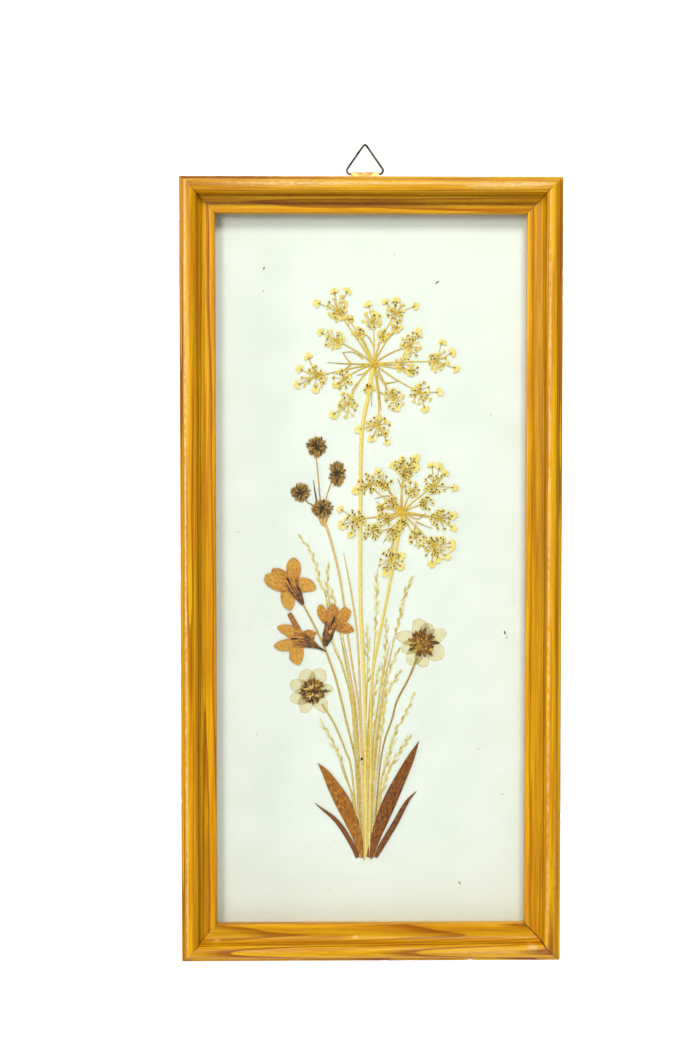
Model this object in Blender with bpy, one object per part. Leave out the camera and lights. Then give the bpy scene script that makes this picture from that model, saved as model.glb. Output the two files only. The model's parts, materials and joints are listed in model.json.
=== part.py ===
"""Pressed flower frame: a tall wooden frame with glass, paper and a pressed bouquet, hung by a ring.

Millimetres are used throughout and turned to metres when a mesh is made. X runs to the right and
Z up. The front faces -Y and the wall is on the +Y side. The origin is where the nail carries the
frame: inside the top bend of the hanging ring. The bouquet is drawn in coordinates of its own,
(x, z) from the middle of the frame.
"""
import math

import bmesh
import bpy
from mathutils import Matrix, Vector

MM = 0.001
GAP = 0.3

# Frame moulding: outer size, depth from back to the top of the bead, and width of one rail.
FRAME_WIDTH = 200.0
FRAME_HEIGHT = 412.0
FRAME_DEPTH = 22.0
RAIL_WIDTH = 18.0
EDGE_HEIGHT = 18.4
LIP_HEIGHT = 13.8
REBATE_WIDTH = 6.5

# What lies in the rebate, from the back forwards.
BRAD_RADIUS = 0.6
BRAD_LENGTH = 13.0
BRAD_HEIGHT = 1.2
BOARD_THICKNESS = 2.0
PAPER_THICKNESS = 0.4
PLANT_THICKNESS = 0.2
PLANT_LAYERS = 5
GLASS_THICKNESS = 1.8
PANEL_PLAY = 0.5

# Hanger: a ring of round wire in the rolled edge of a small plate, nailed to the back of the frame.
WIRE_RADIUS = 0.7
RING_HALF_BASE = 11.4
RING_HEIGHT = 16.3
RING_BASE_BEND = 1.9
RING_TOP_BEND = 1.2
PLATE_THICKNESS = 0.4
PLATE_HALF_WIDTH = 7.7
PLATE_ON_RAIL = 9.4
AXIS_ABOVE_FRAME = 6.1
NAIL_SPREAD = 5.2
NAIL_BELOW_TOP = 5.4
NAIL_RADIUS = 0.6
NAIL_LENGTH = 8.0
NAIL_HEAD_RADIUS = 1.4
NAIL_HEAD_THICKNESS = 0.5
FRAME_OFFSET = 3.0

# Levels that follow from the dimensions above.
RING_TOP = RING_HEIGHT - RING_TOP_BEND * (math.hypot(RING_HEIGHT, RING_HALF_BASE) / RING_HALF_BASE - 1)
AXIS_Z = WIRE_RADIUS - RING_TOP
TOP_Z = AXIS_Z - AXIS_ABOVE_FRAME
CENTRE_X = FRAME_OFFSET
CENTRE_Z = TOP_Z - FRAME_HEIGHT / 2
KNUCKLE_INNER = WIRE_RADIUS + GAP
KNUCKLE_OUTER = KNUCKLE_INNER + PLATE_THICKNESS
BACK_Y = -KNUCKLE_OUTER - GAP
BOARD_BACK = BRAD_HEIGHT + BRAD_RADIUS + GAP
PAPER_BACK = BOARD_BACK + BOARD_THICKNESS + GAP
PLANT_BACK = PAPER_BACK + PAPER_THICKNESS + GAP
PLANT_STEP = PLANT_THICKNESS + GAP
GLASS_BACK = PLANT_BACK + PLANT_LAYERS * PLANT_STEP
LEDGE_HEIGHT = GLASS_BACK + GLASS_THICKNESS + GAP
REBATE_U = RAIL_WIDTH - REBATE_WIDTH


# ---------------------------------------------------------------- materials and meshes

def material(name, colour, roughness, metallic=0.0, transmission=0.0):
    made = bpy.data.materials.new(name)
    made.use_nodes = True
    shader = made.node_tree.nodes["Principled BSDF"]
    shader.inputs["Base Color"].default_value = (*colour, 1.0)
    shader.inputs["Roughness"].default_value = roughness
    shader.inputs["Metallic"].default_value = metallic
    shader.inputs["Transmission Weight"].default_value = transmission
    made.diffuse_color = (*colour, 1.0)
    return made


MATERIALS = {
    "stained_wood": material("stained_wood", (0.62, 0.30, 0.02), 0.32),
    "glass": material("glass", (0.95, 0.98, 0.96), 0.03, transmission=1.0),
    "cream_paper": material("cream_paper", (0.82, 0.83, 0.68), 0.9),
    "hardboard": material("hardboard", (0.23, 0.12, 0.05), 0.8),
    "steel": material("steel", (0.45, 0.44, 0.42), 0.4, metallic=1.0),
    "brass": material("brass", (0.72, 0.50, 0.18), 0.3, metallic=1.0),
    "bronze": material("bronze", (0.30, 0.24, 0.16), 0.4, metallic=1.0),
    "umbel_gold": material("umbel_gold", (0.58, 0.38, 0.08), 0.8),
    "straw": material("straw", (0.72, 0.55, 0.18), 0.8),
    "sedge_brown": material("sedge_brown", (0.25, 0.13, 0.03), 0.8),
    "petal_ochre": material("petal_ochre", (0.70, 0.34, 0.05), 0.7),
    "flower_brown": material("flower_brown", (0.20, 0.09, 0.02), 0.8),
    "leaf_brown": material("leaf_brown", (0.28, 0.12, 0.02), 0.7),
}


def place(bm, name, finish, origin=(0.0, 0.0, 0.0)):
    """Turn a bmesh in millimetres to an object whose origin is at the given point."""
    bmesh.ops.remove_doubles(bm, verts=bm.verts, dist=1e-4)
    bmesh.ops.recalc_face_normals(bm, faces=bm.faces)
    bmesh.ops.translate(bm, verts=bm.verts, vec=-Vector(origin))
    bmesh.ops.scale(bm, verts=bm.verts, vec=(MM, MM, MM))
    mesh = bpy.data.meshes.new(name)
    bm.to_mesh(mesh)
    bm.free()
    mesh.materials.append(MATERIALS[finish])
    made = bpy.data.objects.new(name, mesh)
    made.location = Vector(origin) * MM
    bpy.context.collection.objects.link(made)
    return made


def prism(near, far):
    """A closed solid between two outlines that have the same number of points."""
    bm = bmesh.new()
    front = [bm.verts.new(point) for point in near]
    back = [bm.verts.new(point) for point in far]
    bm.faces.new(front)
    bm.faces.new(reversed(back))
    count = len(front)
    for i in range(count):
        j = (i + 1) % count
        bm.faces.new((front[j], front[i], back[i], back[j]))
    return bm


def depth(height):
    """The Y of a height above the frame's back."""
    return BACK_Y - height


def panel(name, finish, half_width, half_height, back, thickness):
    corners = [(-1, -1), (1, -1), (1, 1), (-1, 1)]
    flat = [(CENTRE_X + sx * half_width, CENTRE_Z + sz * half_height) for sx, sz in corners]
    near = [(x, depth(back + thickness), z) for x, z in flat]
    far = [(x, depth(back), z) for x, z in flat]
    return place(prism(near, far), name, finish)


def rod(start, end, radius, sides=12):
    """A round bar between two points, as a bmesh."""
    start, end = Vector(start), Vector(end)
    along = (end - start).normalized()
    turn = along.to_track_quat("Z", "Y").to_matrix()
    ring = [turn @ Vector((radius * math.cos(2 * math.pi * k / sides),
                           radius * math.sin(2 * math.pi * k / sides), 0)) for k in range(sides)]
    return prism([end + point for point in ring], [start + point for point in ring])


def drill(target, name, start, end, radius):
    """Cut a round hole in the target with a hidden cutter."""
    cutter = place(rod(start, end, radius), name, "steel")
    cutter.hide_render = True
    cutter.display_type = "WIRE"
    cut = target.modifiers.new(name, "BOOLEAN")
    cut.operation = "DIFFERENCE"
    cut.solver = "EXACT"
    cut.object = cutter


# ---------------------------------------------------------------- wooden frame

def arc(centre, radii, start, end, steps):
    """Points on an ellipse, both ends included, angles in degrees."""
    points = []
    for k in range(steps + 1):
        angle = math.radians(start + (end - start) * k / steps)
        points.append((centre[0] + radii[0] * math.cos(angle), centre[1] + radii[1] * math.sin(angle)))
    return points


def moulding():
    """The rail's section as (u, height): u runs from the outer edge towards the glass.

    An outer arris, a fine groove, a broad bead, a cove and a thin flat lip, with a rebate behind.
    """
    groove = 2.0
    bead_end = 9.2
    bead_foot = 18.6
    cove_end = 13.2
    lip_arris = 0.6
    bead_rise = FRAME_DEPTH - bead_foot
    section = [(0.0, 0.0)]
    section += arc((1.2, EDGE_HEIGHT - 1.2), (1.2, 1.2), 180, 90, 3)
    section += [(groove, EDGE_HEIGHT - 0.3)]
    section += arc(((groove + bead_end) / 2, bead_foot), ((bead_end - groove) / 2, bead_rise), 175, 5, 8)
    section += arc((cove_end, bead_foot - 0.6),
                   (cove_end - bead_end, bead_foot - 0.6 - LIP_HEIGHT), 180, 265, 5)
    section += arc((RAIL_WIDTH - lip_arris, LIP_HEIGHT - lip_arris - 0.2),
                   (lip_arris, lip_arris), 90, 0, 3)
    section += [(RAIL_WIDTH, LEDGE_HEIGHT), (REBATE_U, LEDGE_HEIGHT), (REBATE_U, 0.0)]
    return section


def rail(name, side):
    """One mitred rail. side is the outward direction of the rail as (x, z)."""
    out = Vector((side[0], 0, side[1]))
    along = Vector((-side[1], 0, side[0]))
    upright = side[0] != 0
    half_across = FRAME_WIDTH / 2 if upright else FRAME_HEIGHT / 2
    half_long = FRAME_HEIGHT / 2 if upright else FRAME_WIDTH / 2
    mitre_play = GAP / 2 * math.sqrt(2)
    middle = Vector((CENTRE_X, 0, CENTRE_Z))
    ends = []
    for sign in (1, -1):
        ends.append([middle + out * (half_across - u) + along * sign * (half_long - u - mitre_play)
                     + Vector((0, depth(height), 0)) for u, height in moulding()])
    return place(prism(*ends), name, "stained_wood")


def brad(number, wood, side, along_rail):
    """A headless pin through the rebate wall that holds the board in, and its hole in the rail."""
    half_across = FRAME_WIDTH / 2 if side[0] else FRAME_HEIGHT / 2
    inner = half_across - REBATE_U
    pin_in_wood = BRAD_LENGTH / 2

    def point(outwards):
        return (CENTRE_X + side[0] * outwards + abs(side[1]) * along_rail, depth(BRAD_HEIGHT),
                CENTRE_Z + side[1] * outwards + abs(side[0]) * along_rail)

    drill(wood, f"hole_for_brad_{number}", point(inner - 1), point(inner + pin_in_wood + GAP),
          BRAD_RADIUS + GAP)
    place(rod(point(inner + pin_in_wood - BRAD_LENGTH), point(inner + pin_in_wood), BRAD_RADIUS, 8),
          f"brad_{number}", "steel")


def build_frame():
    rails = {"top": (0, 1), "bottom": (0, -1), "left": (-1, 0), "right": (1, 0)}
    wood = {key: rail(f"rail_{key}", side) for key, side in rails.items()}
    places = [("left", 130), ("left", 0), ("left", -130), ("right", 130), ("right", 0), ("right", -130),
              ("top", 30), ("bottom", 0)]
    for number, (key, along_rail) in enumerate(places, 1):
        brad(number, wood[key], rails[key], along_rail)
    half_width = FRAME_WIDTH / 2 - REBATE_U - PANEL_PLAY
    half_height = FRAME_HEIGHT / 2 - REBATE_U - PANEL_PLAY
    panel("backing_board", "hardboard", half_width, half_height, BOARD_BACK, BOARD_THICKNESS)
    panel("mount_paper", "cream_paper", half_width, half_height, PAPER_BACK, PAPER_THICKNESS)
    panel("glass_pane", "glass", half_width, half_height, GLASS_BACK, GLASS_THICKNESS)
    return wood


# ---------------------------------------------------------------- hanger

def build_plate():
    """Sheet that lies on the back of the top rail and is rolled round the ring's base bar."""
    foot = TOP_Z - PLATE_ON_RAIL
    corner = 1.6
    outer = arc((0, AXIS_Z), (KNUCKLE_OUTER, KNUCKLE_OUTER), 180, -140, 16)
    inner = arc((0, AXIS_Z), (KNUCKLE_INNER, KNUCKLE_INNER), -140, 180, 16)
    front = [(-KNUCKLE_OUTER, foot), (-KNUCKLE_OUTER, foot + corner)]
    back = [(-KNUCKLE_INNER, foot + corner), (-KNUCKLE_INNER, foot)]
    section = front + outer + inner + back

    def half_width(z):
        return PLATE_HALF_WIDTH - (corner if z < foot + corner / 2 else 0)

    near = [(half_width(z), y, z) for y, z in section]
    far = [(-half_width(z), y, z) for y, z in section]
    return place(prism(near, far), "hanger_plate", "brass")


def build_nail(name, x, plate, wood):
    """A round-headed nail through the plate into the rail."""
    z = TOP_Z - NAIL_BELOW_TOP
    under_head = -KNUCKLE_INNER + GAP
    head = under_head + NAIL_HEAD_THICKNESS
    tip = under_head - NAIL_LENGTH
    drill(plate, f"plate_hole_{name}", (x, 0, z), (x, BACK_Y, z), NAIL_RADIUS + GAP)
    drill(wood, f"rail_hole_{name}", (x, BACK_Y + 1, z), (x, tip - GAP, z), NAIL_RADIUS + GAP)
    sides = 12
    stations = [(tip, NAIL_RADIUS * 0.3), (tip + 1.2, NAIL_RADIUS), (under_head, NAIL_RADIUS),
                (under_head, NAIL_HEAD_RADIUS), (head - 0.2, NAIL_HEAD_RADIUS),
                (head, NAIL_HEAD_RADIUS * 0.6)]
    bm = bmesh.new()
    rings = []
    for y, radius in stations:
        rings.append([bm.verts.new((x + radius * math.cos(2 * math.pi * k / sides), y,
                                    z + radius * math.sin(2 * math.pi * k / sides)))
                      for k in range(sides)])
    for lower, upper in zip(rings, rings[1:]):
        for k in range(sides):
            j = (k + 1) % sides
            bm.faces.new((lower[k], lower[j], upper[j], upper[k]))
    bm.faces.new(rings[0])
    bm.faces.new(reversed(rings[-1]))
    place(bm, name, "brass")


def rounded_triangle():
    """Centre line of the ring, from its axis: a triangle with three bends."""
    corners = [(Vector((-RING_HALF_BASE, 0)), RING_BASE_BEND, 4),
               (Vector((RING_HALF_BASE, 0)), RING_BASE_BEND, 4),
               (Vector((0, RING_HEIGHT)), RING_TOP_BEND, 4)]
    line = []
    for k, (corner, radius, steps) in enumerate(corners):
        before = (corners[k - 1][0] - corner).normalized()
        after = (corners[(k + 1) % 3][0] - corner).normalized()
        bisector = (before + after).normalized()
        half = before.angle(after) / 2
        centre = corner + bisector * radius / math.sin(half)
        start = corner + before * radius / math.tan(half) - centre
        sweep = math.pi - 2 * half
        for step in range(steps + 1):
            turned = Matrix.Rotation(sweep * step / steps, 2) @ start
            line.append(centre + turned)
    return line


def build_ring():
    line = rounded_triangle()
    curve = bpy.data.curves.new("hanger_ring", "CURVE")
    curve.dimensions = "3D"
    curve.bevel_depth = WIRE_RADIUS * MM
    curve.bevel_resolution = 3
    curve.materials.append(MATERIALS["bronze"])
    spline = curve.splines.new("POLY")
    spline.points.add(len(line) - 1)
    for point, (x, z) in zip(spline.points, line):
        point.co = (x * MM, 0, z * MM, 1)
    spline.use_cyclic_u = True
    ring = bpy.data.objects.new("hanger_ring", curve)
    ring.location = (0, 0, AXIS_Z * MM)
    bpy.context.collection.objects.link(ring)


# ---------------------------------------------------------------- pressed bouquet

def smooth(points, steps, closed=False):
    """A smooth line through the points, with the given number of steps between neighbours."""
    points = [Vector(point) for point in points]
    count = len(points)
    spans = count if closed else count - 1
    line = []
    for k in range(spans):
        if closed:
            a, b, c, d = (points[(k + shift) % count] for shift in (-1, 0, 1, 2))
        else:
            b, c = points[k], points[k + 1]
            a = points[k - 1] if k else b * 2 - c
            d = points[k + 2] if k + 2 < count else c * 2 - b
        for step in range(steps):
            t = step / steps
            line.append(0.5 * (2 * b + (c - a) * t + (2 * a - 5 * b + 4 * c - d) * t ** 2
                               + (3 * b - a - 3 * c + d) * t ** 3))
    if not closed:
        line.append(points[-1])
    return line


def sides_of(line, widths):
    """The two edges of a ribbon along the line, left and right as seen walking along it."""
    left, right = [], []
    last = len(line) - 1
    for k, point in enumerate(line):
        along = line[min(k + 1, last)] - line[max(k - 1, 0)]
        across = Vector((-along.y, along.x)).normalized()
        place_in_list = k / last * (len(widths) - 1)
        lower = min(int(place_in_list), len(widths) - 2)
        part = place_in_list - lower
        half = (widths[lower] * (1 - part) + widths[lower + 1] * part) / 2
        left.append(point + across * half)
        right.append(point - across * half)
    return left, right


def pressed(name, outline, layer, finish):
    """A flat dry piece in one of the layers between paper and glass."""
    back = PLANT_BACK + layer * PLANT_STEP
    near = [(CENTRE_X + x, depth(back + PLANT_THICKNESS), CENTRE_Z + z) for x, z in outline]
    far = [(CENTRE_X + x, depth(back), CENTRE_Z + z) for x, z in outline]
    return place(prism(near, far), name, finish)


def ribbon(name, points, widths, layer, finish, steps=2):
    """A stem, a culm or a blade: a flat ribbon along a smooth line."""
    left, right = sides_of(smooth(points, steps), widths)
    return pressed(name, left + right[::-1], layer, finish)


def branched(name, hub, hub_radius, stem, stem_widths, arms, arm_width, layer, finish):
    """A stem, its hub and the rays that leave it, in one outline.

    Each arm is (x, z, knob): the place and the radius of the head at its end, or a knob of zero
    for a bare point.
    """
    knob_steps = 9
    widest_neck = 0.9
    hub = Vector(hub)
    branches = [([hub, Vector((x, z))], [arm_width, arm_width], knob) for x, z, knob in arms]
    branches.append((smooth(stem, 2), stem_widths, 0))
    outlines = []
    for line, widths, knob in branches:
        beyond = [point for point in line if (point - hub).length > hub_radius + 0.5]
        toward = (beyond[0] - hub).normalized()
        line = [hub + toward * hub_radius] + beyond
        left, right = sides_of(line, widths)
        outline = right + left[::-1]
        if knob:
            along = (line[-1] - line[-2]).normalized()
            neck = math.asin(min(widest_neck, arm_width / 2 / knob))
            turns = [math.pi + neck + (2 * math.pi - 2 * neck) * k / knob_steps
                     for k in range(knob_steps + 1)]
            head = [line[-1] + Matrix.Rotation(turn, 2) @ along * knob for turn in turns]
            outline = right[:-1] + head + left[-2::-1]
        outlines.append((math.atan2(toward.y, toward.x), outline))
    outlines.sort(key=lambda branch: branch[0])
    return pressed(name, [point for _, outline in outlines for point in outline], layer, finish)


def ray_flower(name, centre, radius, depth_of_notch, points, layer, finish):
    """A round head with a notched edge."""
    count = points * 4
    outline = []
    for k in range(count):
        angle = 2 * math.pi * k / count
        reach = radius - depth_of_notch * (1 - math.cos(points * angle)) / 2
        outline.append((centre[0] + reach * math.cos(angle), centre[1] + reach * math.sin(angle)))
    return pressed(name, outline, layer, finish)


def build_wild_carrots():
    """Two dried umbels of wild carrot: the tall one behind and the short one in front of it."""
    branched("wild_carrot_tall", (1.3, 110.0), 5.0,
             [(1.3, 110.0), (-1.2, 93.8), (-4.2, 78), (-5.3, 59), (-5.5, 28), (-5.5, -15), (-4.8, -33),
              (-3.6, -60), (-2.8, -100), (-2.4, -154)],
             [1.4, 2.0, 2.0, 2.0, 1.8, 1.6, 1.5],
             [(34.8, 111.4, 5.6), (20.9, 119.8, 5.2), (13.0, 136.8, 5.8), (1.0, 132.5, 4.8),
              (-17.6, 138.1, 6.4), (-18.6, 122.5, 5.4), (-29.1, 103.4, 6.2), (-14.2, 102.3, 3.4),
              (-12.1, 89.0, 5.6), (4.6, 77.9, 5.6), (11.9, 92.8, 5.0), (25.8, 95.2, 5.4)],
             0.6, 2, "umbel_gold")
    branched("wild_carrot_short", (16.4, 31.0), 4.0,
             [(16.4, 31.0), (15.0, 20), (13.0, 9.1), (10.9, -3.3), (8.2, -17.2), (4.4, -36), (1.3, -54),
              (0.0, -72), (-0.4, -100), (-0.5, -154)],
             [1.3, 1.5, 8.0, 1.5, 1.5, 1.4, 1.3, 1.2, 1.2, 1.2],
             [(36.5, 27.7, 5.5), (33.8, 45.4, 6.2), (18.3, 54.5, 6.0), (7.4, 47.3, 4.0),
              (-1.3, 45.7, 4.2), (-7.6, 27.5, 6.2), (1.2, 21.0, 4.4), (33.3, 13.8, 6.4),
              (23.7, 17.6, 3.6)],
             0.7, 3, "umbel_gold")


def build_sedge():
    """Club-rush: one cluster at the top of the stem, three more on rays, and a thin bract."""
    branched("sedge", (-25.6, 33.0), 5.6,
             [(-25.6, 33.0), (-24.3, 25), (-21.2, 15.5), (-17.1, -1), (-14.3, -18), (-12.2, -34),
              (-9.8, -50), (-7.2, -72), (-5.6, -100), (-4.6, -154)],
             [0.9, 1.0, 0.9, 0.8, 0.8],
             [(-28.9, 66.0, 5.6), (-18.0, 51.8, 4.6), (-37.5, 41.8, 5.0), (-30.6, 48.5, 0)],
             0.5, 2, "sedge_brown")
    ribbon("sedge_blade", [(-14.6, 9), (-10.6, -11), (-7.6, -33), (-6.3, -57), (-5.3, -80), (-4.6, -110),
                           (-3.7, -154)], [0.3, 0.8, 0.8, 0.7], 3, "straw")


def build_bellflowers():
    """A stem with three pressed bell-shaped flowers."""
    ribbon("bellflower_stem", [(-35.6, -19), (-30.4, -29), (-25.3, -40), (-21.8, -48.8), (-18.6, -58.5),
                               (-15.4, -71), (-13.3, -80), (-10.8, -90), (-8.0, -103), (-6.6, -116),
                               (-5.2, -154)], [0.6, 0.8, 0.8, 0.7], 3, "straw")
    outlines = {
        "top": [(-36.0, -18.2), (-37.6, -11.8), (-33.0, -11.8), (-29.4, -9.6), (-31.0, -6.2),
                (-38.6, -4.6), (-37.6, 1.0), (-41.0, 6.9), (-45.0, 1.6), (-52.6, 1.2), (-56.4, -3.0),
                (-53.0, -8.4), (-47.2, -10.2), (-47.3, -14.0), (-43.0, -20.8), (-40.4, -16.8)],
        "left": [(-23.9, -43.2), (-36.0, -41.4), (-36.2, -46.6), (-38.8, -50.1), (-43.2, -43.4),
                 (-48.0, -43.2), (-51.7, -40.2), (-46.4, -36.2), (-49.8, -31.0), (-46.0, -29.2),
                 (-40.6, -30.8), (-44.4, -22.4), (-42.2, -22.6), (-37.4, -31.8), (-29.4, -33.4),
                 (-31.4, -37.2)],
        "right": [(-24.7, -40.0), (-25.2, -34.0), (-24.4, -27.0), (-28.8, -20.4), (-26.6, -18.0),
                  (-23.8, -22.6), (-20.4, -18.3), (-17.2, -22.8), (-13.4, -19.9), (-10.8, -22.4),
                  (-11.6, -26.6), (-9.2, -32.2), (-14.0, -33.3), (-18.6, -31.0), (-20.6, -37.4)],
    }
    for key, outline in outlines.items():
        pressed(f"bellflower_{key}", smooth(outline, 2, closed=True), 4, "petal_ochre")


def build_ray_flowers():
    """Two flattened flower heads with their own stems."""
    ray_flower("ray_flower_left", (-30.8, -64.4), 6.6, 1.2, 12, 4, "flower_brown")
    ribbon("ray_flower_left_stem", [(-27.4, -70.4), (-20.8, -80), (-17.4, -87), (-13.3, -97.4),
                                    (-10.1, -108.7), (-7.4, -125), (-6.1, -154)],
           [0.6, 0.8, 0.7], 3, "straw")
    ray_flower("ray_flower_right", (27.6, -38.6), 9.0, 2.4, 11, 4, "flower_brown")
    ribbon("ray_flower_right_stem", [(25.0, -46), (20.5, -57.5), (14.1, -70), (11.4, -80), (8.2, -89.3),
                                     (6.1, -98.2), (4.4, -111), (2.4, -130), (0.9, -154)],
           [0.7, 0.8, 0.8, 0.7], 3, "straw")


def build_grasses():
    """Thin flowering grasses in the two layers next to the paper, down to the foot of the bunch."""
    culms = [
        (1, [(-25.6, -82.7), (-20.5, -92), (-16, -102), (-12.2, -113.6), (-8.4, -126.6), (-5.9, -154)]),
        (0, [(-36.7, 16.6), (-32, 10), (-28.8, 1), (-27, -7), (-24, -14), (-21, -37), (-15.4, -51.5),
             (-10.6, -70), (-8.4, -100), (-5.2, -154)]),
        (1, [(-22.8, 0.5), (-23.2, -9), (-21, -22), (-16.7, -33), (-13.8, -48), (-9.6, -70), (-7, -100),
             (-4.6, -154)]),
        (0, [(-20.3, -13), (-17.5, -24), (-14.4, -38), (-11, -55), (-8.4, -72), (-6.4, -100),
             (-4.1, -154)]),
        (1, [(-1.9, -33), (-1.6, -50), (-2.4, -75), (-3.4, -100), (-3.4, -154)]),
        (0, [(3.4, -4), (2.4, -34), (0.4, -60), (-1.4, -90), (-2.8, -154)]),
        (1, [(4.0, -55), (1.8, -66), (0.2, -85), (-1.2, -110), (-2.2, -154)]),
        (0, [(8.2, -28.5), (7.8, -45), (4.4, -68), (1.6, -90), (-0.2, -115), (-1.5, -154)]),
        (1, [(21.6, -5), (17.8, -14), (15.8, -24), (11.4, -42), (7.4, -60), (4.4, -82), (1.4, -110),
             (-0.9, -154)]),
        (0, [(14.1, -44.6), (9.4, -56), (6.4, -72), (3.8, -92), (1.2, -120), (-0.3, -154)]),
        (1, [(15.2, -55.4), (8.8, -66), (6.4, -82), (4.6, -98), (2.2, -120), (0.4, -154)]),
        (0, [(22.7, -67.8), (17.9, -79), (13.6, -86), (9.0, -102), (5.0, -118), (1.1, -154)]),
        (1, [(20.0, -91), (12.5, -102), (8.0, -112), (4.4, -128), (1.8, -154)]),
    ]
    for number, (layer, points) in enumerate(culms, 1):
        ribbon(f"grass_{number}", points, [0.2, 1.3, 0.6, 0.5, 0.5], layer, "straw")


def build_leaves():
    """Four lance-shaped brown leaves cut straight across at the foot."""
    foot = -154.5
    leaves = {
        "left_tall": ([(-28.4, -103.4), (-24.2, -108.6), (-19.6, -116.5), (-15.0, -124.5),
                       (-10.6, -134), (-7.0, -144), (-4.6, foot)], [0.3, 3.6, 6.6, 8.2, 7.2, 5.0, 1.6]),
        "left_short": ([(-30.0, -124.9), (-25.0, -129.0), (-20.0, -133.0), (-15.6, -138.2),
                        (-11.9, -144.2), (-9.0, -149.6), (-6.9, foot)],
                       [0.3, 1.3, 2.0, 2.4, 2.4, 2.4, 2.2]),
        "right_tall": ([(25.9, -91.6), (21.4, -101), (16.2, -111.5), (11.0, -122.5), (6.6, -133),
                        (2.6, -144), (-0.6, foot)], [0.3, 4.0, 6.0, 7.4, 7.0, 5.2, 3.4]),
        "right_short": ([(24.6, -118.6), (20.0, -123.8), (16.9, -129.0), (13.4, -135.6),
                         (9.5, -142.2), (5.7, -148.6), (2.6, foot)],
                        [0.3, 1.9, 2.7, 3.0, 3.0, 3.0, 1.9]),
    }
    for key, (points, widths) in leaves.items():
        ribbon(f"leaf_{key}", points, widths, 4, "leaf_brown")


def build():
    for old in list(bpy.data.objects):
        bpy.data.objects.remove(old, do_unlink=True)
    wood = build_frame()
    plate = build_plate()
    build_nail("plate_nail_left", -NAIL_SPREAD, plate, wood["top"])
    build_nail("plate_nail_right", NAIL_SPREAD, plate, wood["top"])
    build_ring()
    build_grasses()
    build_wild_carrots()
    build_sedge()
    build_bellflowers()
    build_ray_flowers()
    build_leaves()


build()
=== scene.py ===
# %% [markdown]
# # A pressed flower frame
# This notebook dresses a finished construction model: a tall wooden frame with a bouquet of dried
# flowers pressed between paper and glass, hung by a small triangular ring. The construction
# model says where everything is. The cells below only make the surfaces that a viewer sees:
# first the helpers, then the stage, the frame, the hanger and at last the plants.

# %% Load the construction model
import json
import math
import random

import bmesh
import bpy
from mathutils import Matrix, Vector, noise


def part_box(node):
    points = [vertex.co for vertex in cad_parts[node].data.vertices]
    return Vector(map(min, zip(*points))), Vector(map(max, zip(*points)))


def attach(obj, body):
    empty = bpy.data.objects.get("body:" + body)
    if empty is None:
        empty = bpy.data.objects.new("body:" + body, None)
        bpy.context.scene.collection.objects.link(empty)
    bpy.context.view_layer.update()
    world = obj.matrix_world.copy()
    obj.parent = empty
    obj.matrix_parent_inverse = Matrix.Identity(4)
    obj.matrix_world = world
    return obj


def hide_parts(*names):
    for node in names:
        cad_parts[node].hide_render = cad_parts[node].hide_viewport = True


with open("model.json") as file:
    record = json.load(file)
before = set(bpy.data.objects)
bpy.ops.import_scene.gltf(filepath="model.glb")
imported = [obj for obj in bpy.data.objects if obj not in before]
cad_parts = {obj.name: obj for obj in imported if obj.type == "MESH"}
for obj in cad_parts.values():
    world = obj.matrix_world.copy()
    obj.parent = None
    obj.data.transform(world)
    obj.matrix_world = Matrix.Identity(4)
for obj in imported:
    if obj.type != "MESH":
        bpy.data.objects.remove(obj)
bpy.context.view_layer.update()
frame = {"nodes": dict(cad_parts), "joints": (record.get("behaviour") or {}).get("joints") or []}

MM = 0.001

# %% [markdown]
# ## Where things are
# Every place in this file is worked out from the construction model's own pieces. The frame is
# measured by its four rails. The bouquet is drawn in millimetres from the middle of the frame:
# x to the right, z up, and a height in front of the sheet of paper. Thinking in the plane of the
# paper keeps the plant drawing as simple as a drawing on a desk.

# %% Measure the frame
rail_top, rail_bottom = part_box("rail_top"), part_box("rail_bottom")
rail_left, rail_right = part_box("rail_left"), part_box("rail_right")
HALF_WIDTH = (rail_right[1].x - rail_left[0].x) / 2 / MM
HALF_HEIGHT = (rail_top[1].z - rail_bottom[0].z) / 2 / MM
MIDDLE = Vector(((rail_right[1].x + rail_left[0].x) / 2, 0, (rail_top[1].z + rail_bottom[0].z) / 2))
BACK_Y = rail_top[1].y
RAIL_WIDTH = (rail_top[1].z - rail_top[0].z) / MM
RAIL_DEPTH = (rail_top[1].y - rail_top[0].y) / MM
PAPER_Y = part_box("mount_paper")[0].y
GLASS_BACK_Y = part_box("glass_pane")[1].y
GLASS_FRONT_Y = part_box("glass_pane")[0].y


def on_paper(x, z, height=0.0):
    """A place in the picture: millimetres from the frame's middle, and in front of the paper."""
    return Vector((MIDDLE.x + x * MM, PAPER_Y - height * MM, MIDDLE.z + z * MM))


print(f"frame {2 * HALF_WIDTH:.0f} x {2 * HALF_HEIGHT:.0f} x {RAIL_DEPTH:.0f} mm, "
      f"{(PAPER_Y - GLASS_BACK_Y) / MM:.1f} mm between paper and glass")

# %% [markdown]
# ## Colours and nodes
# Colours are written as sRGB hex values, the way a colour picker shows them, and one function
# turns them to the linear values that a shader works with. Another adds a node, sets its
# options, and fills each input with a number, a colour or a link. With these two, a material
# reads as a list of what happens to the light.

# %% Colour and node helpers
def linear(hex_colour):
    """An sRGB hex colour such as "#d9a441" as linear RGBA."""
    values = [int(hex_colour[k:k + 2], 16) / 255 for k in (1, 3, 5)]
    return (*[v / 12.92 if v <= 0.04045 else ((v + 0.055) / 1.055) ** 2.4 for v in values], 1.0)


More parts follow.
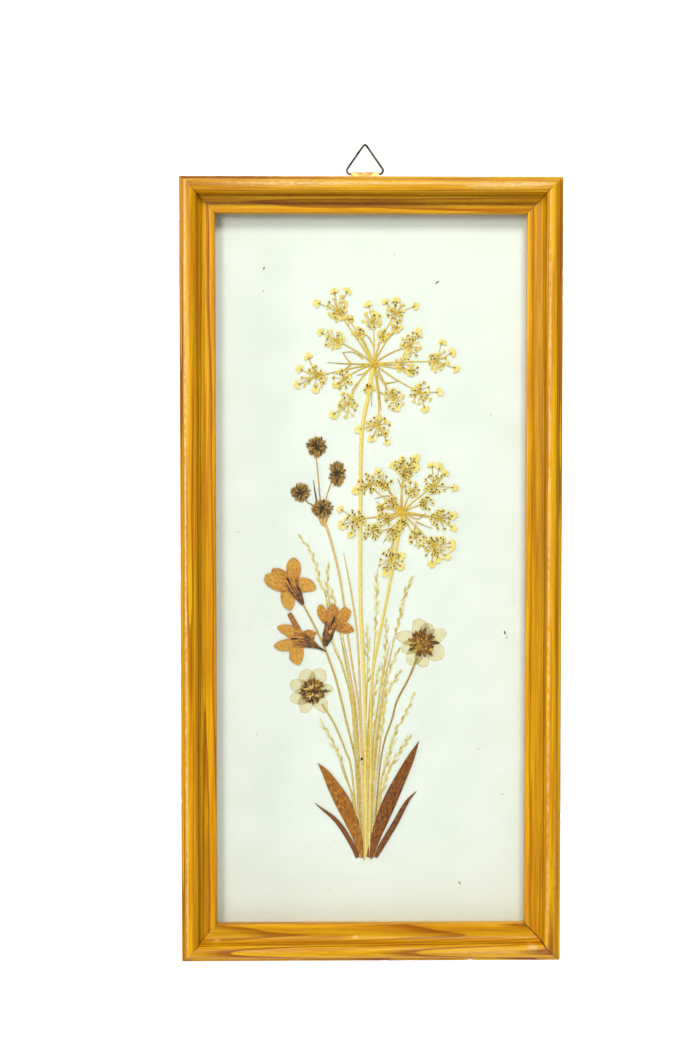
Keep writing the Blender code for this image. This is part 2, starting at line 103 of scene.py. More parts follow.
def add(tree, kind, inputs=None, stops=None, **options):
    """Add a node, set its options and colour stops, and set or link its inputs."""
    node = tree.nodes.new(kind)
    for key, value in options.items():
        setattr(node, key, value)
    for key, value in (inputs or {}).items():
        if isinstance(value, bpy.types.NodeSocket):
            tree.links.new(value, node.inputs[key])
        else:
            node.inputs[key].default_value = value
    for number, (position, colour) in enumerate(stops or []):
        elements = node.color_ramp.elements
        element = elements[number] if number < len(elements) else elements.new(position)
        element.position, element.color = position, linear(colour)
    return node


def new_material(name, roughness, metallic=0.0):
    """A material with a Principled shader, and its tree, ready for more nodes."""
    material = bpy.data.materials.new(name)
    material.use_nodes = True
    tree = material.node_tree
    shader = tree.nodes["Principled BSDF"]
    shader.inputs["Roughness"].default_value = roughness
    shader.inputs["Metallic"].default_value = metallic
    return material, tree, shader


print("gold is", [round(v, 3) for v in linear("#d9a441")])

# %% [markdown]
# ## Pieces
# A piece is one mesh. While it is drawn, a Shape gathers its points and faces, and two painted
# values at each point: a tint, which picks a colour from light to dark, and a flow, which says
# how far along and across the grain or the vein a point lies. Painted values move with the mesh,
# so the pattern stays where it is when the hanger swings. Rails, wire, sheet, nails and stems are
# all drawn the same way: one outline is repeated along a line, and the rows are joined to a tube.

# %% Shape and piece helpers
SHARP_ANGLE = 40


class Shape:
    """Points, faces and painted values of one piece."""

    def __init__(self):
        self.points, self.faces, self.tints, self.flows = [], [], [], []

    def extend(self, points, faces, tints, flows):
        start = len(self.points)
        self.points += points
        self.faces += [[start + k for k in face] for face in faces]
        self.tints += tints
        self.flows += flows


def tube_faces(rows, size, looped=False):
    """Faces that join rows of points to a tube, closed by flat ends or by its own first row."""
    faces = []
    for row in range(rows if looped else rows - 1):
        here, there = row * size, (row + 1) % rows * size
        for k in range(size):
            onward = (k + 1) % size
            faces.append([here + k, here + onward, there + onward, there + k])
    if not looped:
        faces += [list(range(size)), list(range((rows - 1) * size, rows * size))]
    return faces


def make_piece(name, shape, material, replaces=(), body="frame"):
    """Turn a Shape to an object that rides on a body of the construction model."""
    mesh = bpy.data.meshes.new(name)
    mesh.from_pydata([tuple(point) for point in shape.points], [], shape.faces)
    tint = mesh.attributes.new("tint", "FLOAT", "POINT")
    tint.data.foreach_set("value", shape.tints)
    flow = mesh.attributes.new("flow", "FLOAT_VECTOR", "POINT")
    flow.data.foreach_set("vector", [value for vector in shape.flows for value in vector])
    bm = bmesh.new()
    bm.from_mesh(mesh)
    bmesh.ops.recalc_face_normals(bm, faces=bm.faces)
    bm.to_mesh(mesh)
    bm.free()
    mesh.shade_smooth()
    mesh.set_sharp_from_angle(angle=math.radians(SHARP_ANGLE))
    mesh.materials.append(material)
    piece = bpy.data.objects.new(name, mesh)
    bpy.context.scene.collection.objects.link(piece)
    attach(piece, body)
    if replaces:
        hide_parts(*replaces)
    print(f"{name}: {len(mesh.polygons)} faces")


print(f"a tube of 3 rows of 8 points has {len(tube_faces(3, 8))} faces")

# %% [markdown]
# ## The stage
# The frame hangs by itself in a pale room: a floor well below it, a backdrop far behind it, and
# nothing close to it, so that it can be looked at from all sides. A soft light stands high in
# front and shades the hollow of the upper rail. A second one, lower and to the left, softens that
# shade. A tall strip far to the left, like a window, draws the bright line along the bead. A pale
# sky fills the shadows. All of them stand where the glass does not mirror them to the viewer.

# %% Build the room
FLOOR_DROP = 1.35
BACKDROP_DISTANCE = 2.4
ROOM_HALF = 5.0


def stage_plane(name, corners, material):
    """A flat part of the room, which isn't part of the object."""
    mesh = bpy.data.meshes.new(name)
    mesh.from_pydata(corners, [], [(0, 1, 2, 3)])
    mesh.materials.append(material)
    plane = bpy.data.objects.new(name, mesh)
    bpy.context.scene.collection.objects.link(plane)


def painted_plaster():
    """Matt white emulsion on plaster: hardly any gloss, with faint roller stipple."""
    material, tree, shader = new_material("white_emulsion_paint", 0.9)
    place = add(tree, "ShaderNodeTexCoord")
    stipple = add(tree, "ShaderNodeTexNoise", {"Vector": place.outputs["Object"], "Scale": 60.0})
    shader.inputs["Base Color"].default_value = linear("#f6f9fb")
    bump = add(tree, "ShaderNodeBump", {"Height": stipple.outputs["Fac"], "Strength": 0.15,
                                        "Distance": 0.002})
    tree.links.new(bump.outputs["Normal"], shader.inputs["Normal"])
    return material


plaster = painted_plaster()
floor_z = MIDDLE.z - FLOOR_DROP
wall_y = BACK_Y + BACKDROP_DISTANCE
stage_plane("floor", [(-ROOM_HALF, -ROOM_HALF, floor_z), (ROOM_HALF, -ROOM_HALF, floor_z),
                      (ROOM_HALF, wall_y, floor_z), (-ROOM_HALF, wall_y, floor_z)], plaster)
stage_plane("backdrop", [(-ROOM_HALF, wall_y, floor_z), (ROOM_HALF, wall_y, floor_z),
                         (ROOM_HALF, wall_y, ROOM_HALF), (-ROOM_HALF, wall_y, ROOM_HALF)], plaster)
print(f"the floor is {FLOOR_DROP} m below the frame, and the backdrop {BACKDROP_DISTANCE} m behind it")

# %% Light the room
KEY_DISTANCE = 2.4


def area_light(name, left, up, distance, size, watts, aim=MIDDLE):
    """A soft light, left and up from the frame's front by angles in degrees, aimed at a point."""
    data = bpy.data.lights.new(name, "AREA")
    data.shape = "RECTANGLE"
    data.size, data.size_y = size
    data.energy = watts
    light = bpy.data.objects.new(name, data)
    turn, rise = math.radians(left), math.radians(up)
    away = Vector((-math.sin(turn) * math.cos(rise), -math.cos(turn) * math.cos(rise), math.sin(rise)))
    light.location = Vector(aim) + away * distance
    light.rotation_mode = "QUATERNION"
    light.rotation_quaternion = (-away).to_track_quat("-Z", "Y")
    bpy.context.scene.collection.objects.link(light)


area_light("key_light", -10, 42, KEY_DISTANCE, (0.7, 0.7), 32)
area_light("left_light", 26, 14, KEY_DISTANCE, (0.8, 0.8), 24)
area_light("window_strip", 74, 14, 1.8, (0.25, 1.6), 9)
area_light("back_light", 160, 35, 1.9, (1.2, 1.2), 30)
wall_middle = Vector((MIDDLE.x, wall_y, MIDDLE.z))
area_light("wall_light", 0, 45, 2.0, (3.0, 0.6), 60, aim=wall_middle)
world = bpy.data.worlds.new("pale_room")
world.use_nodes = True
world.node_tree.nodes["Background"].inputs["Color"].default_value = linear("#f6faff")
world.node_tree.nodes["Background"].inputs["Strength"].default_value = 0.22
bpy.context.scene.world = world
bpy.context.scene.view_settings.view_transform = "Standard"

# %% [markdown]
# ## The camera
# A 40 mm lens on a 36 mm high picture, about 60 cm in front of the frame. It stands a little left
# of the middle and a little above it, and looks down very slightly, so the frame's upright sides
# stay nearly parallel and the lower rail shows a little more of its inner slope.

# %% Place the camera
LENS = 40.0
SENSOR_HEIGHT = 36.0
CAMERA_OFFSET = Vector((-0.0178, -0.610, 0.0420))
FRONT_EDGE_HEIGHT = 18.0
LOOK_DOWN = 1.625
LOOK_RIGHT = 0.62

camera_data = bpy.data.cameras.new("camera")
camera_data.lens = LENS
camera_data.sensor_width = SENSOR_HEIGHT
camera = bpy.data.objects.new("camera", camera_data)
front_edge = Vector((MIDDLE.x, BACK_Y - FRONT_EDGE_HEIGHT * MM, MIDDLE.z))
camera.location = front_edge + CAMERA_OFFSET
camera.rotation_euler = (math.radians(90 - LOOK_DOWN), 0, math.radians(-LOOK_RIGHT))
bpy.context.scene.collection.objects.link(camera)
bpy.context.scene.camera = camera
print(f"camera {abs(CAMERA_OFFSET.y) * 100:.0f} cm in front of the frame")

# %% [markdown]
# ## Stained pine
# The frame is pine, stained golden and varnished. A pine board shows the tree's yearly rings:
# pale wood that grew in spring, ending in a thin dark line of summer wood. The rings can be
# drawn as they grew. Every rail is a stick cut out of a log, so each point of a rail knows where
# in its log it was, in millimetres from the heart of the tree. The distance from the heart,
# divided by the width of a ring, counts the rings. Where the moulding cuts across them, the
# straight lines, bands and long pointed arches of real wood come by themselves. The rings are 1.3
# to 2.1 mm wide, and differ from rail to rail, since each was cut from another place in a tree.
# Long thin noise along the stick gives the fibres, and broader noise the uneven stain.

# %% The yearly rings
RING_WIDTH = 1.9
RING_WANDER = 0.8


def summer_wood(tree, log):
    """How much summer wood a place in the log has: 0 in spring wood, up to 1 in a dark line."""
    slow = add(tree, "ShaderNodeVectorMath", {0: log, 1: (0.013, 0.05, 0.05)}, operation="MULTIPLY")
    wander = add(tree, "ShaderNodeTexNoise", {"Vector": slow.outputs[0], "Scale": 1.0, "Detail": 2.0})
    across = add(tree, "ShaderNodeVectorMath", {0: log, 1: (0.0, 1.0, 1.0)}, operation="MULTIPLY")
    radius = add(tree, "ShaderNodeVectorMath", {0: across.outputs[0]}, operation="LENGTH")
    grown = add(tree, "ShaderNodeMath", {0: wander.outputs["Fac"], 1: RING_WANDER * 2,
                                         2: radius.outputs["Value"]}, operation="MULTIPLY_ADD")
    rings = add(tree, "ShaderNodeMath", {0: grown.outputs[0], 1: RING_WIDTH}, operation="DIVIDE")
    season = add(tree, "ShaderNodeMath", {0: rings.outputs[0]}, operation="FRACT")
    year = add(tree, "ShaderNodeMath", {0: rings.outputs[0]}, operation="FLOOR")
    weather = add(tree, "ShaderNodeTexWhiteNoise", {"W": year.outputs[0]}, noise_dimensions="1D")
    summer = add(tree, "ShaderNodeValToRGB", {"Fac": season.outputs[0]},
                 stops=[(0.0, "#000000"), (0.64, "#0c0c0c"), (0.88, "#ffffff"), (0.96, "#ffffff"),
                        (1.0, "#000000")])
    strength = add(tree, "ShaderNodeMapRange", {"Value": weather.outputs["Value"], "To Min": 0.5})
    late = add(tree, "ShaderNodeMath", {0: summer.outputs["Color"], 1: strength.outputs[0]},
               operation="MULTIPLY")
    return late.outputs[0]


print(f"a ring every {RING_WIDTH} mm, give or take {RING_WANDER} mm along the stick")

# %% The pine material
SPRING_WOOD, SUMMER_WOOD, AMBER_STAIN = "#e8ac04", "#8a3a02", "#cc8206"
# A pale colour for scuffs on the varnish, which also paints a highlight along the beads, and a dark one for
# grime, which also paints shade in the grooves and coves.
SCUFF_AND_HIGHLIGHT, GRIME_AND_SHADE = "#eccf9a", "#461a02"
WOOD_DEPTH = 0.12 * MM
RING_RELIEF = 0.35


def stained_pine():
    """Pine with a golden stain: the stain glows where the wood is soft, under a thin varnish."""
    material, tree, shader = new_material("stained_varnished_pine", 0.42)
    log = add(tree, "ShaderNodeAttribute", attribute_name="flow").outputs["Vector"]
    wear_and_light = add(tree, "ShaderNodeAttribute", attribute_name="tint").outputs["Fac"]
    late = summer_wood(tree, log)

    long_fibres = add(tree, "ShaderNodeVectorMath", {0: log, 1: (0.05, 2.2, 2.2)},
                      operation="MULTIPLY")
    fibres = add(tree, "ShaderNodeTexNoise", {"Vector": long_fibres.outputs[0], "Scale": 1.0,
                                              "Detail": 4.0, "Roughness": 0.65})
    long_bands = add(tree, "ShaderNodeVectorMath", {0: log, 1: (0.016, 0.45, 0.45)},
                     operation="MULTIPLY")
    bands = add(tree, "ShaderNodeTexNoise", {"Vector": long_bands.outputs[0], "Scale": 1.0,
                                             "Detail": 2.0})
    band_share = add(tree, "ShaderNodeMapRange", {"Value": bands.outputs["Fac"], "From Min": 0.38,
                                                  "From Max": 0.64, "To Max": 0.9})
    stained = add(tree, "ShaderNodeMix", {"Factor": band_share.outputs[0], 6: linear(SPRING_WOOD),
                                          7: linear(AMBER_STAIN)}, data_type="RGBA")
    ringed = add(tree, "ShaderNodeMix", {"Factor": late, 6: stained.outputs[2],
                                         7: linear(SUMMER_WOOD)}, data_type="RGBA")
    fibre_light = add(tree, "ShaderNodeMapRange", {"Value": fibres.outputs["Fac"], "From Min": 0.25,
                                                   "From Max": 0.75, "To Min": 0.72, "To Max": 1.18})
    fibred = add(tree, "ShaderNodeVectorMath", {0: ringed.outputs[2], "Scale": fibre_light.outputs[0]},
                 operation="SCALE")
    # Above zero the tint mixes towards the pale colour: scuffs, and a painted highlight along the beads.
    worn = add(tree, "ShaderNodeMath", {0: wear_and_light, 1: fibre_light.outputs[0]}, operation="MULTIPLY",
               use_clamp=True)
    scuffed_and_highlit = add(tree, "ShaderNodeMix", {"Factor": worn.outputs[0], 6: fibred.outputs[0],
                                          7: linear(SCUFF_AND_HIGHLIGHT)}, data_type="RGBA")
    # Below zero the tint mixes towards the dark colour: grime, and painted shade in the grooves and coves.
    grime_and_shade_share = add(tree, "ShaderNodeMath", {0: wear_and_light, 1: -1.0}, operation="MULTIPLY", use_clamp=True)
    grimed_and_shaded = add(tree, "ShaderNodeMix", {"Factor": grime_and_shade_share.outputs[0], 6: scuffed_and_highlit.outputs[2],
                                          7: linear(GRIME_AND_SHADE)}, data_type="RGBA")
    tree.links.new(grimed_and_shaded.outputs[2], shader.inputs["Base Color"])

    relief = add(tree, "ShaderNodeMath", {0: late, 1: RING_RELIEF, 2: fibres.outputs["Fac"]},
                 operation="MULTIPLY_ADD")
    bump = add(tree, "ShaderNodeBump", {"Height": relief.outputs[0], "Strength": 0.7,
                                        "Distance": WOOD_DEPTH})
    tree.links.new(bump.outputs["Normal"], shader.inputs["Normal"])
    tree.links.new(bump.outputs["Normal"], shader.inputs["Coat Normal"])
    shader.inputs["Specular IOR Level"].default_value = 0.12
    shader.inputs["Coat Weight"].default_value = 0.16
    shader.inputs["Coat Roughness"].default_value = 0.22
    return material


pine = stained_pine()
print(f"{len(pine.node_tree.nodes)} nodes in {pine.name}")

# %% [markdown]
# ## The moulding
# All four rails have one section: a rounded outer arris, a fine groove, a broad bead, a cove that
# falls to a thin lip, and a rebate behind that holds glass, paper and board. It is drawn with two
# numbers: u, from the outer edge towards the glass, and v, up from the back. The curved parts are
# arcs of ellipses, as the cutters of a moulding plane make them.

# %% Draw the section
REBATE_U = RAIL_WIDTH - 6.5
LEDGE = (BACK_Y - GLASS_FRONT_Y) / MM + 0.3


def arc(centre, radii, start, end, steps):
    """Points on an arc of an ellipse, with angles in degrees."""
    angles = [math.radians(start + (end - start) * k / steps) for k in range(steps + 1)]
    return [(centre[0] + radii[0] * math.cos(a), centre[1] + radii[1] * math.sin(a)) for a in angles]


def run(start, end, steps):
    """Points on a straight line, without its last one."""
    return [(start[0] + (end[0] - start[0]) * k / steps, start[1] + (end[1] - start[1]) * k / steps)
            for k in range(steps)]


def moulding():
    """The section as (u, v) points, all the way round."""
    edge, groove, bead_end, bead_foot, cove_end, lip = 18.4, 2.0, 9.2, 18.6, 13.2, 13.8
    bead_rise = RAIL_DEPTH - bead_foot
    section = run((0.0, 0.0), (0.0, edge - 1.2), 9)
    section += arc((1.2, edge - 1.2), (1.2, 1.2), 180, 90, 5)
    section += arc(((groove + bead_end) / 2, bead_foot), ((bead_end - groove) / 2, bead_rise),
                   186, -4, 26)
    section += arc((cove_end, bead_foot - 0.6), (cove_end - bead_end, bead_foot - 0.6 - lip),
                   176, 268, 14)
    section += run((cove_end + 0.4, lip - 0.02), (RAIL_WIDTH - 0.6, lip - 0.2), 6)
    section += arc((RAIL_WIDTH - 0.6, lip - 0.8), (0.6, 0.6), 90, 0, 4)
    section += run((RAIL_WIDTH, lip - 1.4), (RAIL_WIDTH, LEDGE), 3)
    section += run((RAIL_WIDTH, LEDGE), (REBATE_U, LEDGE), 4)
    section += run((REBATE_U, LEDGE), (REBATE_U, 0.0), 4)
    section += run((REBATE_U, 0.0), (0.0, 0.0), 5)
    return section


def outward_normals(section):
    """The direction out of the wood at each point of the section."""
    normals = []
    for k, (u, v) in enumerate(section):
        before, after = section[k - 1], section[(k + 1) % len(section)]
        normals.append(Vector((before[1] - after[1], after[0] - before[0])).normalized())
    return normals


SECTION = moulding()
NORMALS = outward_normals(SECTION)
print(f"{len(SECTION)} points round the moulding")

# %% [markdown]
# ## The rails
# Each rail is the section repeated along its length, every millimetre or so, with its ends cut
# at 45 degrees. Sanding and years of handling leave wood a little uneven, so every point is
# moved by a few hundredths of a millimetre, and the outer edges have small dents. The corners
# differ too: one joint has opened to a dark gap, and the others are thin seams. Marks are painted
# at places along and across a rail: pale scuffs on the bead, where hands touch it, which also
# serve as a painted highlight along the bead, and grime in the quirks and the cove, which also
# serves as painted shade in the groove and cove of the upper rail and the cove of the right rail.
# One entry is a place along the rail, a place across it, how far it reaches along and across, and
# its strength: above zero a pale scuff and painted highlight, below zero dark grime and painted
# shade. pith says where the heart of the tree was, and tilt how much the grain slants.

# %% Describe the rails
STEP = 1.0
EASED = 0.35
EASED_DEPTH = 0.12
FADED = 6.0
# On the upper rail the entries along the outer arris and the bead are partly a painted highlight, and the
# long negative entries in the groove and the cove are painted shade with some grime. On the left and right
# rails the long scuff along the bead is partly a painted highlight, and on the right rail the broad negative
# entry in the cove is painted shade.
RAILS = {
    "rail_top": {"side": (0, 1), "pith": (7.0, -21.0), "tilt": (0.002, -0.006), "trunk": 40.0,
                 "rings": 1.2, "wear_and_light": [
                     (-40, 5.0, 34, 1.4, 0.6), (68, 5.6, 20, 1.4, 0.7), (84, 4.6, 7, 1.1, 0.6),
                     (10, 4.6, 30, 1.0, 0.45), (0, 0.6, 120, 0.5, 0.25), (0, 1.9, 300, 0.35, -0.55),
                     (0, 9.7, 300, 0.4, -0.85), (0, 13.5, 300, 0.9, -1.0), (0, 11.6, 300, 1.3, -0.4)]},
    "rail_bottom": {"side": (0, -1), "pith": (1.0, -44.0), "tilt": (0.008, 0.024), "trunk": 410.0,
                    "rings": 0.9, "wear_and_light": [
                        (-8.6, 11.5, 1.2, 0.5, 1.3), (85, 8.4, 2.4, 1.2, 0.8), (-82, 10.0, 2.0, 0.8, 0.5),
                        (60, 6.0, 30, 0.8, 0.4), (-55, 6.6, 18, 0.6, 0.3), (0, 9.4, 300, 0.4, -0.3),
                        (0, 12.5, 300, 3.0, -0.22)]},
    "rail_left": {"side": (-1, 0), "pith": (6.4, -13.0), "tilt": (-0.003, 0.004), "trunk": 870.0,
                  "rings": 1.5, "wear_and_light": [
                      (0, 3.3, 260, 0.5, 0.8), (150, 3.5, 60, 0.6, 0.3), (0, 1.0, 300, 0.8, -0.3),
                      (0, 7.2, 300, 0.25, -0.4), (0, 9.3, 300, 0.25, -0.4), (0, 12.4, 300, 0.6, -0.3)]},
    "rail_right": {"side": (1, 0), "pith": (2.5, -16.0), "tilt": (0.005, -0.003), "trunk": 1320.0,
                   "rings": 1.2, "wear_and_light": [
                       (0, 7.4, 260, 0.5, 0.6), (-150, 3.2, 40, 1.2, 0.3), (0, 12.0, 300, 3.0, -0.4),
                       (0, 9.1, 300, 0.3, -0.5), (0, 3.5, 300, 1.6, -0.25)]},
}
SEAMS = {(-1, 1): 0.04, (1, 1): 0.05, (-1, -1): 0.07, (1, -1): 0.24}
for rail_name, rail in RAILS.items():
    print(f"{rail_name}: rings {RING_WIDTH / rail['rings']:.1f} mm wide, {len(rail['wear_and_light'])} kinds of wear")


# %% Place and wear a point
def rail_point(side, u, v, along):
    """A point of a rail. side is its outward direction, and along runs to the right or up."""
    half_across = HALF_WIDTH if side[0] else HALF_HEIGHT
    x = side[0] * (half_across - u) + abs(side[1]) * along
    z = side[1] * (half_across - u) + abs(side[0]) * along
    return Vector((MIDDLE.x + x * MM, BACK_Y - v * MM, MIDDLE.z + z * MM))


def seam_at(side, end):
    """Half the width of the joint at one end of a rail."""
    corner = (side[0], end) if side[0] else (end, side[1])
    return SEAMS[corner]


def wood_is_off(along, u, v, phase):
    """How far sanding and handling moved a point, in millimetres along its normal."""
    broad = noise.noise((along * 0.03, u * 0.2, phase)) * 0.07
    fine = noise.noise((along * 0.4, u * 1.1, v * 1.1 + phase)) * 0.02
    dent = noise.noise((along * 0.22, v * 0.3, phase + 50.0))
    on_arris = max(0.0, 1.0 - abs(u - 0.3) / 1.2) * (v > 15)
    return broad + fine - on_arris * max(0.0, dent - 0.42) * 1.6


def wear_and_light_at(worn, along, u):
    """The painted marks at a place of a rail's face: above zero scuffs with a painted highlight, below zero
    grime with painted shade.
    """
    total = 0.0
    for place, across, long, wide, strength in worn:
        away = ((along - place) / long) ** 2 + ((u - across) / wide) ** 2
        if away < FADED:
            uneven = 1.3 if strength > 0 else 0.2
            patchy = 0.75 + noise.noise((along * 0.4, u * 1.5, place + across)) * uneven
            total += strength * math.exp(-away) * max(0.0, patchy)
    return total


print(f"wear in the middle of the upper bead: {wear_and_light_at(RAILS['rail_top']['wear_and_light'], 0, 5.0):.2f}")


# %% Build the rails
def build_rail(name, side, pith, tilt, trunk, rings, wear_and_light):
    """One rail, from mitre to mitre, with its grain and its marks painted on its points: scuffs and painted
    highlights, grime and painted shade.
    """
    shape = Shape()
    half_long = HALF_HEIGHT if side[0] else HALF_WIDTH
    count = round(2 * half_long / STEP)
    shares = [-1.0, -1.0 + EASED / half_long] + [k / (count / 2) - 1 for k in range(1, count)]
    shares += [1.0 - EASED / half_long, 1.0]
    for share in shares:
        eased = EASED_DEPTH if abs(share) == 1.0 else 0.0
        play = seam_at(side, 1 if share > 0 else -1)
        for (u, v), normal in zip(SECTION, NORMALS):
            along = share * (half_long - u - play * math.sqrt(2))
            front = v > LEDGE + 0.5
            moved = (wood_is_off(along, u, v, trunk) - eased) if front else 0.0
            shape.points.append(rail_point(side, u + normal.x * moved, v + normal.y * moved, along))
            shape.flows.append((along + trunk, (u - pith[0] + tilt[0] * along) * rings,
                                (v - pith[1] + tilt[1] * along) * rings))
            shape.tints.append(wear_and_light_at(wear_and_light, along, u) + eased * 1.5 if front else 0.0)
    shape.faces = tube_faces(len(shares), len(SECTION))
    make_piece(f"{name}_pine", shape, pine, [name])


for rail_name, rail in RAILS.items():
    build_rail(rail_name, **rail)

# %% [markdown]
# ## Glue in the joints
# Between two rails sits a film of old glue. From the front it is only the dark line of the joint,
# and it also keeps light from shining through the open corner. It has the shape of the section,
# a little smaller, and stands on the 45 degree plane of the joint.

# %% Fill the mitres
def old_glue():
    """Hide glue, cast in place: dark amber, slightly glossy, with trapped dust."""
    material, tree, shader = new_material("old_hide_glue", 0.4)
    place = add(tree, "ShaderNodeTexCoord")
    dust = add(tree, "ShaderNodeTexNoise", {"Vector": place.outputs["Object"], "Scale": 900.0})
    colour = add(tree, "ShaderNodeValToRGB", {"Fac": dust.outputs["Fac"]},
                 stops=[(0.3, "#1c0f06"), (0.75, "#4a2a12")])
    tree.links.new(colour.outputs["Color"], shader.inputs["Base Color"])
    return material


hide_glue = old_glue()
GLUE_INSET = 0.5
GLUE_SHARE = 0.7
for (right, up), play in SEAMS.items():
    film = Shape()
    for face in (-1, 1):
        for (u, v), normal in zip(SECTION, NORMALS):
            u, v = u - normal.x * GLUE_INSET, v - normal.y * GLUE_INSET
            x = right * (HALF_WIDTH - u) + face * right * play * GLUE_SHARE
            z = up * (HALF_HEIGHT - u) - face * up * play * GLUE_SHARE
            film.points.append(Vector((MIDDLE.x + x * MM, BACK_Y - v * MM, MIDDLE.z + z * MM)))
            film.flows.append((u, v, 0.0))
            film.tints.append(0.0)
    film.faces = tube_faces(2, len(SECTION))
    corner_name = f"{'top' if up > 0 else 'bottom'}_{'right' if right > 0 else 'left'}"
    make_piece(f"mitre_glue_{corner_name}", film, hide_glue)

# %% [markdown]
# ## Glass
# Picture glass is a 1.8 mm sheet of clear float glass. It is drawn by its real refraction, with
# nothing painted on it. The construction model's pane is flat and true already, so it is kept and
# only given its material. The paper, the board and the pins are dressed in the same way.

# %% The glass
def float_glass():
    """Clear float glass. Light from lamps and from the paper passes it straight, since a flat pane
    hardly bends it. That keeps what lies under the glass free of noise."""
    material, tree, shader = new_material("picture_float_glass", 0.0)
    shader.inputs["Base Color"].default_value = linear("#fdfffd")
    shader.inputs["Transmission Weight"].default_value = 1.0
    shader.inputs["IOR"].default_value = 1.5
    path = add(tree, "ShaderNodeLightPath")
    clear = add(tree, "ShaderNodeBsdfTransparent", {"Color": linear("#fbfdfb")})
    lamps = add(tree, "ShaderNodeMixShader", {0: path.outputs["Is Shadow Ray"], 1: shader.outputs[0],
                                              2: clear.outputs[0]})
    bounces = add(tree, "ShaderNodeMixShader", {0: path.outputs["Is Diffuse Ray"],
                                                1: lamps.outputs[0], 2: clear.outputs[0]})
    tree.links.new(bounces.outputs[0], tree.nodes["Material Output"].inputs["Surface"])
    return material


def dress(node, material):
    """Give a construction node its material."""
    slots = frame["nodes"][node].data.materials
    slots.clear()
    slots.append(material)
    print(f"{node} is {material.name}")


dress("glass_pane", float_glass())

# %% [markdown]
# ## Paper
# The sheet behind the bouquet is a cream writing paper with a fine laid texture and a few darker
# fibres. Two waves across each other make the texture, as the wires of the mould do. The paper has
# yellowed a little more towards its foot, where damp rises.

# %% The paper
THREAD = 0.9
PAPER, PAPER_SHADE, PAPER_FOOT, PAPER_FIBRE = "#f3f5ec", "#ebeee2", "#efebd8", "#cdbf98"


def cream_paper():
    """Laid paper, made on a wire mould: matt, with a faint weave. The threads are 0.9 mm apart,
    about double the real ones, so that they can be seen."""
    material, tree, shader = new_material("cream_laid_paper", 0.85)
    place = add(tree, "ShaderNodeTexCoord").outputs["Object"]
    turn = math.tau / (THREAD * MM)
    waves = []
    for axis in ((turn, 0, 0), (0, 0, turn)):
        phase = add(tree, "ShaderNodeVectorMath", {0: place, 1: axis}, operation="DOT_PRODUCT")
        waves.append(add(tree, "ShaderNodeMath", {0: phase.outputs["Value"]}, operation="SINE"))
    weave = add(tree, "ShaderNodeMath", {0: waves[0].outputs[0], 1: waves[1].outputs[0]})
    clouds = add(tree, "ShaderNodeTexNoise", {"Vector": place, "Scale": 45.0, "Detail": 5.0})
    shade = add(tree, "ShaderNodeMath", {0: weave.outputs[0], 1: 0.05, 2: clouds.outputs["Fac"]},
                operation="MULTIPLY_ADD")
    cream = add(tree, "ShaderNodeValToRGB", {"Fac": shade.outputs[0]},
                stops=[(0.25, PAPER_SHADE), (0.7, PAPER)])
    height = add(tree, "ShaderNodeSeparateXYZ", {0: place})
    foot_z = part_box("mount_paper")[0].z
    foot = add(tree, "ShaderNodeMapRange", {"Value": height.outputs["Z"], "From Min": foot_z,
                                            "From Max": foot_z + 55 * MM, "To Min": 0.85,
                                            "To Max": 0.0})
    yellowed = add(tree, "ShaderNodeMix", {"Factor": foot.outputs[0], 6: cream.outputs["Color"],
                                           7: linear(PAPER_FOOT)}, data_type="RGBA")
    flecks = add(tree, "ShaderNodeTexVoronoi", {"Vector": place, "Scale": 170.0})
    fleck = add(tree, "ShaderNodeMapRange", {"Value": flecks.outputs["Distance"], "From Min": 0.03,
                                             "From Max": 0.07, "To Min": 0.8, "To Max": 0.0})
    rare = add(tree, "ShaderNodeMath", {0: flecks.outputs["Color"], 1: 0.7}, operation="GREATER_THAN")
    shown = add(tree, "ShaderNodeMath", {0: fleck.outputs[0], 1: rare.outputs[0]},
                operation="MULTIPLY")
    flecked = add(tree, "ShaderNodeMix", {"Factor": shown.outputs[0], 6: yellowed.outputs[2],
                                          7: linear(PAPER_FIBRE)}, data_type="RGBA")
    tree.links.new(flecked.outputs[2], shader.inputs["Base Color"])
    bump = add(tree, "ShaderNodeBump", {"Height": shade.outputs[0], "Strength": 0.25,
                                        "Distance": 0.0002})
    tree.links.new(bump.outputs["Normal"], shader.inputs["Normal"])
    return material


dress("mount_paper", cream_paper())

# %% [markdown]
# ## Board and pins
# The board that closes the back is brown hardboard, smooth with a fine speckle of pressed fibres.
# Eight headless pins of drawn steel wire hold it in the rebate. Noise at two sizes is enough for
# both, since neither has a pattern of its own.

# %% The backing board and its pins
def brown_hardboard():
    """Hardboard, hot-pressed wood fibre: a smooth brown sheet with a fine speckle."""
    material, tree, shader = new_material("brown_hardboard", 0.55)
    place = add(tree, "ShaderNodeTexCoord").outputs["Object"]
    specks = add(tree, "ShaderNodeTexNoise", {"Vector": place, "Scale": 1400.0, "Detail": 3.0})
    clouds = add(tree, "ShaderNodeTexNoise", {"Vector": place, "Scale": 30.0, "Detail": 3.0})
    mixed = add(tree, "ShaderNodeMath", {0: clouds.outputs["Fac"], 1: 0.6, 2: specks.outputs["Fac"]},
                operation="MULTIPLY_ADD")
    colour = add(tree, "ShaderNodeValToRGB", {"Fac": mixed.outputs[0]},
                 stops=[(0.55, "#4c3020"), (0.8, "#7a5236"), (1.0, "#a07a56")])
    tree.links.new(colour.outputs["Color"], shader.inputs["Base Color"])
    bump = add(tree, "ShaderNodeBump", {"Height": specks.outputs["Fac"], "Strength": 0.4,
                                        "Distance": 0.0001})
    tree.links.new(bump.outputs["Normal"], shader.inputs["Normal"])
    return material


